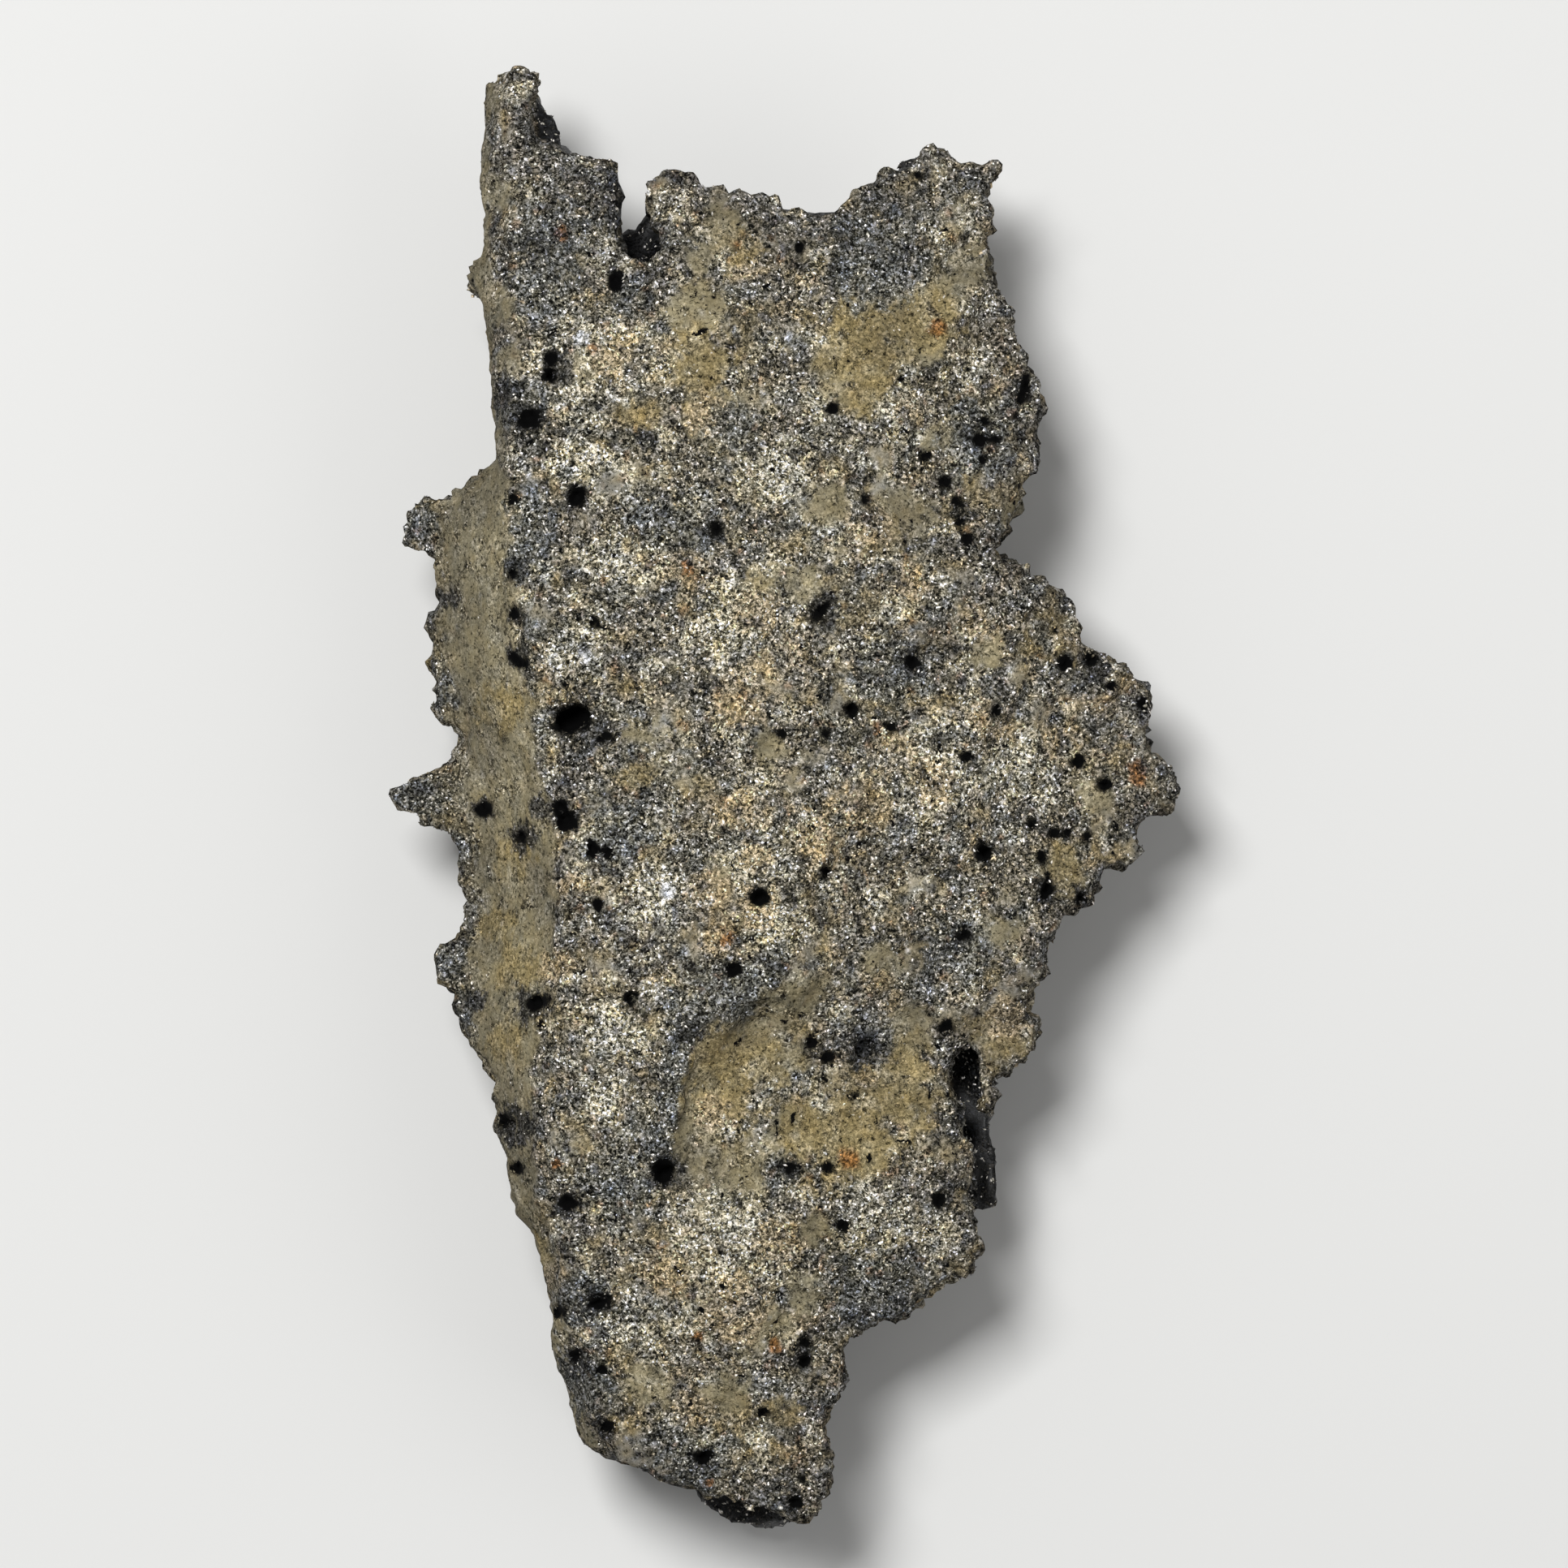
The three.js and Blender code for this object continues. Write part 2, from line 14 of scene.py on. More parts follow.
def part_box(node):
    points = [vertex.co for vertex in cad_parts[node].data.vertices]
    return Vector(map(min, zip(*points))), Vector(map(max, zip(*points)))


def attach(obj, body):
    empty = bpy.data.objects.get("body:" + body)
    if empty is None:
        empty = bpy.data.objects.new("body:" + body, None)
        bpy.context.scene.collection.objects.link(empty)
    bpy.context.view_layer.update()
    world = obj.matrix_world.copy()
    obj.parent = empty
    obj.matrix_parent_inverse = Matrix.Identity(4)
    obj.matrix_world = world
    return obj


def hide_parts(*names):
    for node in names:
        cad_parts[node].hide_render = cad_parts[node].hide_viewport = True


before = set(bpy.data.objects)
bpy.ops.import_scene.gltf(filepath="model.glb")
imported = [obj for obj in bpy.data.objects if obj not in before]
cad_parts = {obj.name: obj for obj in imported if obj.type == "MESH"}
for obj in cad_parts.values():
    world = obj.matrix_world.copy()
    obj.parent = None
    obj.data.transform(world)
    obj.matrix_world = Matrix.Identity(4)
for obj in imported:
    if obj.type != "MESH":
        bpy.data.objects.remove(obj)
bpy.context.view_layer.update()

MM = 0.001
NODE = "fulgurite"
low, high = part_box(NODE)
print("solid, mm:", [round((b - a) / MM, 1) for a, b in zip(low, high)])

# %% [markdown]
# ## Where the camera stands
# The piece is seen flat on, from straight above. A short lens would swell the parts nearest to it, so
# a long lens far away is used, which keeps the outline true. Its view is set at the height of the rim.

# %% Camera
VIEW_WIDTH = 96.6 * MM
VIEW_CENTRE = (-0.075 * MM, 0.775 * MM)
RIM_HEIGHT = 10 * MM
LENS = 300
SENSOR = 36

lens = bpy.data.cameras.new("view")
lens.lens = LENS
lens.sensor_width = SENSOR
camera = bpy.data.objects.new("view", lens)
camera.location = (*VIEW_CENTRE, RIM_HEIGHT + VIEW_WIDTH * LENS / SENSOR)
bpy.context.collection.objects.link(camera)
bpy.context.scene.camera = camera
print("camera height, mm:", round(camera.location.z / MM))

# %% [markdown]
# ## Gas pits
# Gas blew bubbles in the melt, and the burst ones are pits here and there all over the face, with black
# shade painted into them. They could be strewn at random, but they are what the eye goes to, so each
# has a place and a size of its own and is taken as an oval. One function says how far inside a pit a
# place lies. The smoothing, the relief, the colour with its painted shade and the grains all ask it, so
# they agree.

# %% Pits in the face
# Millimetres: x, y, half width, half length, turn in degrees.
LARGE_PITS = [
    (-15.65, 23.05, 0.6, 0.5, 20), (-14.5, 25.7, 0.35, 0.35, 0), (-16.25, 8.3, 0.55, 0.3, -25),
    (-16.5, 11.2, 0.2, 0.4, 20), (-13.35, -1.5, 0.6, 0.6, 0), (-18.5, -0.8, 0.42, 0.42, 0),
    (-16.1, -2.5, 0.3, 0.3, 0), (-15.1, -12.6, 0.6, 0.3, 25), (-17.3, -20.0, 0.45, 0.35, 0),
    (-13.3, -24.75, 0.42, 0.42, 0), (-10.35, 31.5, 0.38, 0.7, 0), (-12.7, 18.4, 0.45, 0.6, 0),
    (-13.0, 4.75, 1.15, 0.7, 20), (-10.9, 3.6, 0.45, 0.3, 0), (-11.8, -3.3, 0.42, 0.45, 0),
    (-9.45, -12.35, 0.25, 0.35, 0), (-11.4, -30.9, 0.8, 0.3, 8), (-7.5, -22.85, 0.55, 0.85, -10),
    (-5.0, -40.5, 0.42, 0.36, 0), (-1.6, -6.1, 0.5, 0.45, 0), (-3.1, -10.55, 0.45, 0.4, 0),
    (2.5, -4.6, 0.3, 0.3, 0), (4.0, 5.3, 0.35, 0.35, 0), (2.2, 11.3, 0.7, 0.3, 40),
    (7.75, 8.15, 0.36, 0.33, 0), (-4.2, 16.4, 0.25, 0.45, 0), (1.6, -14.95, 0.3, 0.28, 0),
    (0.3, -22.7, 0.5, 0.18, 5), (1.15, -33.45, 0.3, 0.22, 0), (-1.4, -37.75, 0.32, 0.26, 0),
    (0.7, -43.3, 0.45, 0.3, 0), (12.2, 23.0, 0.35, 0.28, 0), (11.95, 21.85, 0.35, 0.3, 0),
    (10.65, 18.05, 0.28, 0.24, 0), (10.7, 16.8, 0.33, 0.3, 0), (14.6, 24.8, 0.22, 1.25, -12),
    (18.85, 8.4, 0.35, 0.3, 0), (12.2, -3.4, 0.5, 0.45, 0), (10.95, -8.45, 0.35, 0.3, 0),
    (9.85, -14.2, 0.33, 0.28, 0), (9.4, -24.8, 0.4, 0.35, 0), (19.7, 0.7, 0.36, 0.32, 0),
    (16.0, -5.8, 0.28, 0.75, 0), (11.75, -20.2, 0.5, 1.0, 8), (12.1, -23.4, 0.4, 1.2, 0),
]
# Millimetres: x, y, radius.
SMALL_PITS = [
    (-14.4, 26.8, 0.32), (-13.7, -0.6, 0.32), (-16.6, 18.2, 0.3), (-16.6, 13.6, 0.3),
    (-11.6, 10.6, 0.3), (-10.9, -3.4, 0.25), (-11.4, -6.6, 0.25), (-16.4, -22.8, 0.3),
    (-13.9, -31.6, 0.3), (-12.8, -34.3, 0.22), (-11.3, -35.1, 0.25), (-10.9, -38.6, 0.35),
    (-0.2, 3.9, 0.25), (2.4, 3.9, 0.25), (11.1, 2.5, 0.3), (6.4, 4.3, 0.2), (2.6, -16.0, 0.3),
    (4.3, -18.3, 0.2), (2.6, -22.8, 0.3), (3.5, -26.3, 0.25),
    (0.9, 33.7, 0.25), (8.1, 38.0, 0.3), (2.9, 23.7, 0.25), (7.1, 25.6, 0.2), (4.9, 18.2, 0.25),
    (12.9, 21.8, 0.25), (12.1, 20.6, 0.25), (11.1, 15.8, 0.3), (8.6, 20.9, 0.25), (9.8, 19.2, 0.25),
    (17.1, 8.3, 0.35), (20.0, 6.8, 0.3), (22.1, 5.7, 0.3), (12.9, 5.3, 0.3), (18.0, 2.2, 0.3),
    (16.6, -2.3, 0.25), (17.4, -2.2, 0.2), (18.4, -2.5, 0.25), (15.1, -1.7, 0.2), (15.6, -3.8, 0.25),
    (18.1, -6.2, 0.25), (1.2, -34.6, 0.3), (1.1, -41.8, 0.2),
]
PITS = LARGE_PITS + [(x, y, r, r, 0) for x, y, r in SMALL_PITS]
print("pits:", len(PITS))

# %% How far a place lies inside a pit
PIT_SPREAD = 0.1  # mm, since crumbled rims make the pits wider than their bubbles
PIT_DEPTH = 1.8  # mm, and as much again as the pit is wide
FAR_OUTSIDE = -9.0  # mm, where there is no pit near
TOP_REACH = 0.5  # mm round a pit's middle, where the face's height is read


def pit_tops(p):
    """Height of the face at each pit, mm."""
    return [p[np.hypot(p[:, 0] - x, p[:, 1] - y) < TOP_REACH, 2].max() for x, y, *_ in PITS]


def inside_pits(p):
    """How far a place lies inside its nearest pit, mm, negative outside."""
    depth = np.full(len(p), FAR_OUTSIDE)
    for (x, y, half_width, half_length, turn), top in zip(PITS, tops):
        cosine, sine = math.cos(math.radians(turn)), math.sin(math.radians(turn))
        away_x, away_y = p[:, 0] - x, p[:, 1] - y
        along = (cosine * away_x + sine * away_y) / (half_width + PIT_SPREAD)
        across = (cosine * away_y - sine * away_x) / (half_length + PIT_SPREAD)
        small = min(half_width, half_length)
        inside = (1 - np.hypot(along, across)) * (small + PIT_SPREAD)
        above_foot = p[:, 2] - top + PIT_DEPTH + 2 * small
        depth = np.maximum(depth, np.minimum(inside, above_foot))
    return depth


print("a pit of 1 mm reaches down", PIT_DEPTH + 1, "mm")

# %% [markdown]
# ## The skin
# The solid has broad facets, and the real crust has none. Voxel remesh lays an even net of small faces
# over any closed solid, so it can be smoothed and pushed about. A subdivision would keep the facets,
# and its faces would be small only where they already are. The pits are kept sharp by leaving them out
# of the smoothing.

# %% Even net over the solid
VOXEL = 0.33 * MM


def baked(piece):
    """The piece's mesh with its modifiers applied."""
    graph = bpy.context.evaluated_depsgraph_get()
    return bpy.data.meshes.new_from_object(piece.evaluated_get(graph))


crust = bpy.data.objects.new("crust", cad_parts[NODE].data.copy())
bpy.context.collection.objects.link(crust)
remesh = crust.modifiers.new("even net", "REMESH")
remesh.mode = "VOXEL"
remesh.voxel_size = VOXEL
crust.data = baked(crust)
crust.modifiers.clear()
print("net:", len(crust.data.vertices), "points,", len(crust.data.polygons), "faces")


# %% Smooth the facets away from the pits
def places(mesh):
    """The mesh's points in mm."""
    flat = np.empty(3 * len(mesh.vertices))
    mesh.vertices.foreach_get("co", flat)
    return flat.reshape(-1, 3) / MM


def facing(mesh):
    """The direction that the surface faces at each point."""
    flat = np.empty(3 * len(mesh.vertices))
    mesh.vertex_normals.foreach_get("vector", flat)
    return flat.reshape(-1, 3)


def move_to(mesh, points):
    """Puts the mesh's points at these places in mm."""
    mesh.vertices.foreach_set("co", (points * MM).ravel())
    mesh.update()


PIT_MARGIN = -0.25  # mm, so 0.25 outside the rim
FLOOR_CLEARANCE = 0.35  # mm, below which the piece rests and stays flat
SMOOTHING = 6

points = places(crust.data)
normals = facing(crust.data)
tops = pit_tops(points)
near_pit = (inside_pits(points) > PIT_MARGIN) & (normals[:, 2] > -0.2)
resting = points[:, 2] < FLOOR_CLEARANCE
free = np.flatnonzero(~(near_pit | resting))
group = crust.vertex_groups.new(name="free")
group.add(free.tolist(), 1.0, "REPLACE")
smooth = crust.modifiers.new("worn", "SMOOTH")
smooth.factor = 0.5
smooth.iterations = SMOOTHING
smooth.vertex_group = "free"
crust.data = baked(crust)
crust.modifiers.clear()
print("smoothed:", len(free), "of", len(points), "points")

# %% [markdown]
# ## Relief
# Melted sand cools into knobs: broad swells, nodules a millimetre or two across, and a fine crust. Each
# size is a noise of its own, pushed out along the surface. A displacement picture could do it, but a
# noise in space needs no unwrapping and has no seam. The smooth flank left of the ridge gets little of
# it, and the glassy bore only a slow swell. The side walls are broken in and ragged. All of it is
# masked by named lines and places, so those come first.

# %% Helpers for masks and noise
KNOB_REACH = 0.75  # of a nodule's spacing, from its middle to the crease


def fade(value, start, end):
    """0 at start, 1 at end, and an even curve between."""
    t = np.clip((value - start) / (end - start), 0, 1)
    return t * t * (3 - 2 * t)


def own_corner(seed):
    """A far-off corner of the noise, so that each seed has a pattern of its own."""
    return Vector((seed * 17.3, seed * 5.1, seed * 9.7))


def noise_at(p, size, seed):
    """Smooth noise from -1 to 1 whose knobs are about size mm across."""
    shift = own_corner(seed)
    return np.array([noise.noise(Vector(row) / size + shift) for row in p.tolist()])


def nodules_at(p, size, seed):
    """Round knobs with creases between them, from 0 in a crease to 1 on a knob."""
    shift = own_corner(seed)
    nearest = [noise.voronoi(Vector(row) / size + shift)[0][0] for row in p.tolist()]
    return 1 - np.clip(np.array(nearest) / KNOB_REACH, 0, 1) ** 2


print("halfway through a fade:", float(fade(0.5, 0, 1)))

# %% The flank left of the ridge
# Millimetres, seen from above: the crest of the ridge, from horn to foot.
RIDGE = [
    (-17.3, 44.6), (-18.0, 39.1), (-17.8, 29.1), (-16.9, 21.1), (-16.4, 14.1), (-15.6, 6.6),
    (-13.9, -0.9), (-13.9, -6.9), (-14.9, -15.4), (-15.1, -22.9), (-13.4, -30.9), (-11.4, -39.9),
]


def on_flank(p):
    """1 on the smooth flank left of the ridge."""
    ridge = np.array(RIDGE)[::-1]
    ridge_x = np.interp(p[:, 1], ridge[:, 1], ridge[:, 0])
    fray = 0.7 * noise_at(p, 1.8, 15) + 0.35 * noise_at(p, 0.6, 16)
    return fade(ridge_x - p[:, 0] + fray, 0.1, 0.6) * fade(p[:, 2], 6, 8)


print("the ridge runs through", len(RIDGE), "places")

# %% The bore and the bare back wall
# Millimetres: y, centre x, centre z, half width, half height of the bore.
BORE = [
    (50, -3.0, 9.0, 10.6, 4.2), (37, -3.0, 9.0, 10.2, 4.0), (26, -3.2, 9.4, 9.8, 5.0),
    (12, -2.6, 9.8, 10.8, 5.6), (-2, -2.0, 10.0, 11.2, 5.8), (-16, -2.6, 9.2, 10.0, 4.9),
    (-29, -3.6, 9.0, 8.4, 4.5), (-40, -5.2, 8.4, 5.6, 3.8), (-50, -5.4, 8.4, 5.4, 3.8),
]
# Millimetres: x, y, radius. Here the inside of the back wall shows past the broken front wall.
# These places are painted with shade: the near black glass tint darkens them.
BARE_INSIDE = [
    (-14.4, 42.2, 1.1), (-14.2, 41.0, 1.2), (-13.4, 40.2, 1.1), (7.0, 39.4, 0.9), (8.0, 39.3, 0.6),
    (11.2, -16.6, 1.2), (11.2, -18.6, 1.3), (11.8, -20.6, 1.3), (12.2, -22.6, 1.3), (12.2, -24.4, 1.1),
    (-9.0, 34.2, 1.5), (3.0, 36.6, 1.0), (4.2, 37.4, 0.8),
    (-4.6, -43.8, 1.2), (-2.9, -44.3, 1.3), (-1.2, -44.7, 1.0), (0.0, -44.9, 0.7),
]
BARE_FOOT, BARE_TOP = 0.8, 9.9  # mm, the heights between which those places count
BORE_POWER = 2.6  # 2 would make the bore an ellipse, and more makes it squarer
BORE_SKIN = 1.1, 1.35  # how far out its wall reaches, and where it has faded out


def bare_inside(p):
    """1 on the stretches of the back wall's inside that are seen from above."""
    share = np.zeros(len(p))
    for x, y, radius in BARE_INSIDE:
        share = np.maximum(share, np.hypot(p[:, 0] - x, p[:, 1] - y) < radius)
    return share * (p[:, 2] < BARE_TOP) * (p[:, 2] > BARE_FOOT)


def in_bore(p):
    """1 on the wall of the bore, and where the inside of the back wall shows past the front one."""
    rows = np.array(BORE)[::-1]
    x, z, half_width, half_height = (np.interp(p[:, 1], rows[:, 0], rows[:, k]) for k in (1, 2, 3, 4))
    away = np.abs((p[:, 0] - x) / half_width) ** BORE_POWER
    away += np.abs((p[:, 2] - z) / half_height) ** BORE_POWER
    wall, end = BORE_SKIN
    return np.maximum(fade(away, end, wall), bare_inside(p))


print("the bore has", len(BORE), "stations, and the back wall shows at", len(BARE_INSIDE), "places")

# %% The ledge above the hollow
# Millimetres: the edge of the grey lump, above the smooth hollow.
LEDGE = [
    (0.2, -10.2), (-0.2, -11.4), (-1.8, -12.2), (-3.6, -12.9), (-4.9, -13.7), (-5.6, -15.4),
    (-6.4, -18.4), (-6.8, -21.0),
]
LEDGE_END = -10.6  # mm, the y where it dies out


def past_ledge(p):
    """How far a place lies past the ledge, into the hollow, mm, negative on the lump."""
    nearest = np.full(len(p), 99.0)
    past = np.zeros(len(p))
    for (x0, y0), (x1, y1) in zip(LEDGE, LEDGE[1:]):
        run_x, run_y = x1 - x0, y1 - y0
        long = math.hypot(run_x, run_y)
        t = np.clip(((p[:, 0] - x0) * run_x + (p[:, 1] - y0) * run_y) / long**2, 0, 1)
        away = np.hypot(p[:, 0] - x0 - t * run_x, p[:, 1] - y0 - t * run_y)
        side = run_x * (p[:, 1] - y0) - run_y * (p[:, 0] - x0)
        past = np.where(away < nearest, away * np.sign(side), past)
        nearest = np.minimum(away, nearest)
    return past + 0.25 * noise_at(p, 1.0, 26)


print("the ledge runs through", len(LEDGE), "places")

# %% Where the relief goes
WORN_SIDE = [(-42, -21), (20, 31), (33, 42)]  # mm of y, where the left edge is worn smooth
WORN_SIDE_X = -11  # mm, right of which no edge is worn
WORN_SHARE = 0.35  # of the raggedness, how much is left on a worn edge
BROKEN_END = 33  # mm, the y above which the bore's rim is broken off


def crumbled_pits(p):
    """Depth inside the pits, mm, with their rims crumbled."""
    crumble = 0.24 * noise_at(p, 0.7, 13) + 0.2 * noise_at(p, 0.35, 19)
    return inside_pits(p) + crumble


points = places(crust.data)
normals = facing(crust.data)
flank = on_flank(points)
bore = in_bore(points)
pit = (crumbled_pits(points) > 0) * (normals[:, 2] > 0.2) * (1 - bore)
rough = (1 - 0.75 * flank) * (1 - 0.8 * bore) * (1 - pit)
wall = fade(np.abs(normals[:, 2]), 0.6, 0.3)
wall *= np.maximum(1 - bore + bare_inside(points), points[:, 1] > BROKEN_END)
worn = np.zeros(len(points), bool)
for start, end in WORN_SIDE:
    worn |= (points[:, 0] < WORN_SIDE_X) & (points[:, 1] > start) & (points[:, 1] < end)
ledge = past_ledge(points)
lip = fade(ledge, 0.25, -0.15) * fade(ledge, -2.2, -0.6) * fade(points[:, 1], LEDGE_END + 1, LEDGE_END)
print("points on a side wall:", int((wall > 0.5).sum()))

# %% Push the relief out
# Millimetres.
SWELL = 0.35
NODULE = 0.30
CRUST = 0.12
BORE_SWELL = 0.45
WALL_BREAK = 0.9
RAGGED = 0.6
LEDGE_LIP = 0.5
PIT_SINK = 0.7

push = SWELL * noise_at(points, 3.2, 1) * rough
push += NODULE * (nodules_at(points, 1.5, 2) - 0.6) * rough
push += CRUST * noise_at(points, 0.55, 3) * rough
push += BORE_SWELL * noise_at(points, 2.4, 6) * bore
push -= WALL_BREAK * wall * np.clip(noise_at(points, 2.4, 4) + 0.15, 0, 1)
teeth = noise_at(points, 0.7, 17) + 0.5 * noise_at(points, 1.3, 18)
push += RAGGED * np.where(worn, WORN_SHARE, 1) * wall * teeth
push += LEDGE_LIP * lip * (normals[:, 2] > 0.2)
push[points[:, 2] < FLOOR_CLEARANCE] = 0
points += push[:, None] * normals
points[:, 2] -= PIT_SINK * pit * fade(crumbled_pits(points), 0, 0.35)
points[:, 2] = np.maximum(points[:, 2], 0)
move_to(crust.data, points)
for face in crust.data.polygons:
    face.use_smooth = True
print("relief from", round(push.min(), 2), "to", round(push.max(), 2), "mm")

# %% [markdown]
# ## Fewer faces in the bore and on the back
# The net is as fine in the dark bore as on the face. A coarser voxel size would blunt the face too, so
# Decimate merges faces afterwards, and a vertex group tells it where it may.

# %% Spend fewer faces where nobody looks closely
BORE_AND_BACK_RATIO = 0.6
group = crust.vertex_groups.new(name="seldom seen")
seldom = np.clip(bore - bare_inside(points) + 0.5 * (normals[:, 2] < -0.2), 0, 1)
seldom[points[:, 1] > BROKEN_END] = 0
for row in np.flatnonzero(seldom > 0).tolist():
    group.add([row], float(seldom[row]), "REPLACE")
thin = crust.modifiers.new("fewer faces", "DECIMATE")
thin.ratio = BORE_AND_BACK_RATIO
thin.vertex_group = "seldom seen"
thin.vertex_group_factor = 4
crust.data = baked(crust)
crust.modifiers.clear()
print("skin:", len(crust.data.polygons), "faces")

# %% [markdown]
# ## Colour of the crust
# The crust is grey-beige, with cream, peach, ochre and slate patches some millimetres wide, a few rust
# spots, dark grit round the pits, and painted shade in the pits, at the rim and where the inside of the
# back wall shows. They could be painted on a picture, but that would need
# the skin unwrapped first. Named places with a radius do without it, and noise frays their edges and
# lets the hue drift a little. The result is a colour for each point, which skin and grains share.

# %% Bare skin
# Millimetres: x, y, radius. Hardly any sand sticks here, and the tan skin lies bare.
BARE_SKIN = [
    (-5.0, -18.5, 2.2), (-4.0, -15.2, 2.0), (-3.2, -22.6, 2.0), (-1.0, -16.2, 1.7),
    (0.6, -20.6, 1.9), (4.4, -21.2, 2.4), (7.2, -18.4, 2.1), (7.4, -14.6, 1.6), (13.2, -14.6, 1.7),
    (-6.0, -21.6, 1.5), (-1.8, -13.2, 1.4), (4.0, 26.6, 2.4), (5.0, 29.4, 1.8), (7.6, 29.4, 1.8),
    (4.8, 24.8, 1.4), (8.6, 27.4, 1.2), (-5.4, 29.6, 1.8), (-4.9, 26.6, 1.8), (-4.4, 23.4, 2.0),
    (-5.2, 33.0, 1.0), (-13.2, 32.6, 1.2), (-17.7, 37.0, 1.0), (-17.5, 30.0, 1.0), (-16.9, 26.6, 0.9),
    (-12.0, 26.4, 1.2), (-3.4, -4.4, 1.3), (-8.9, 3.8, 1.1), (2.5, 17.8, 1.4), (7.3, 17.2, 1.8),
    (9.6, 31.0, 1.6), (11.4, 32.6, 1.4), (9.5, 22.0, 1.1), (17.2, -5.0, 1.4), (19.0, 0.3, 1.1),
    (1.7, -26.6, 1.0), (1.2, -30.4, 1.2), (-0.8, -32.6, 1.4), (-8.4, -36.0, 1.5), (-3.8, -36.6, 1.4),
    (-12.2, -36.4, 0.9), (-4.8, -25.4, 1.2), (-1.5, 12.7, 1.5), (1.0, 12.9, 1.1), (-3.7, 34.8, 1.4),
    (14.2, 17.4, 0.9), (-1.0, 3.0, 1.0), (13.4, -8.4, 1.1), (6.2, -10.6, 1.2), (12.4, 9.0, 1.1),
]
print("bare places:", len(BARE_SKIN))

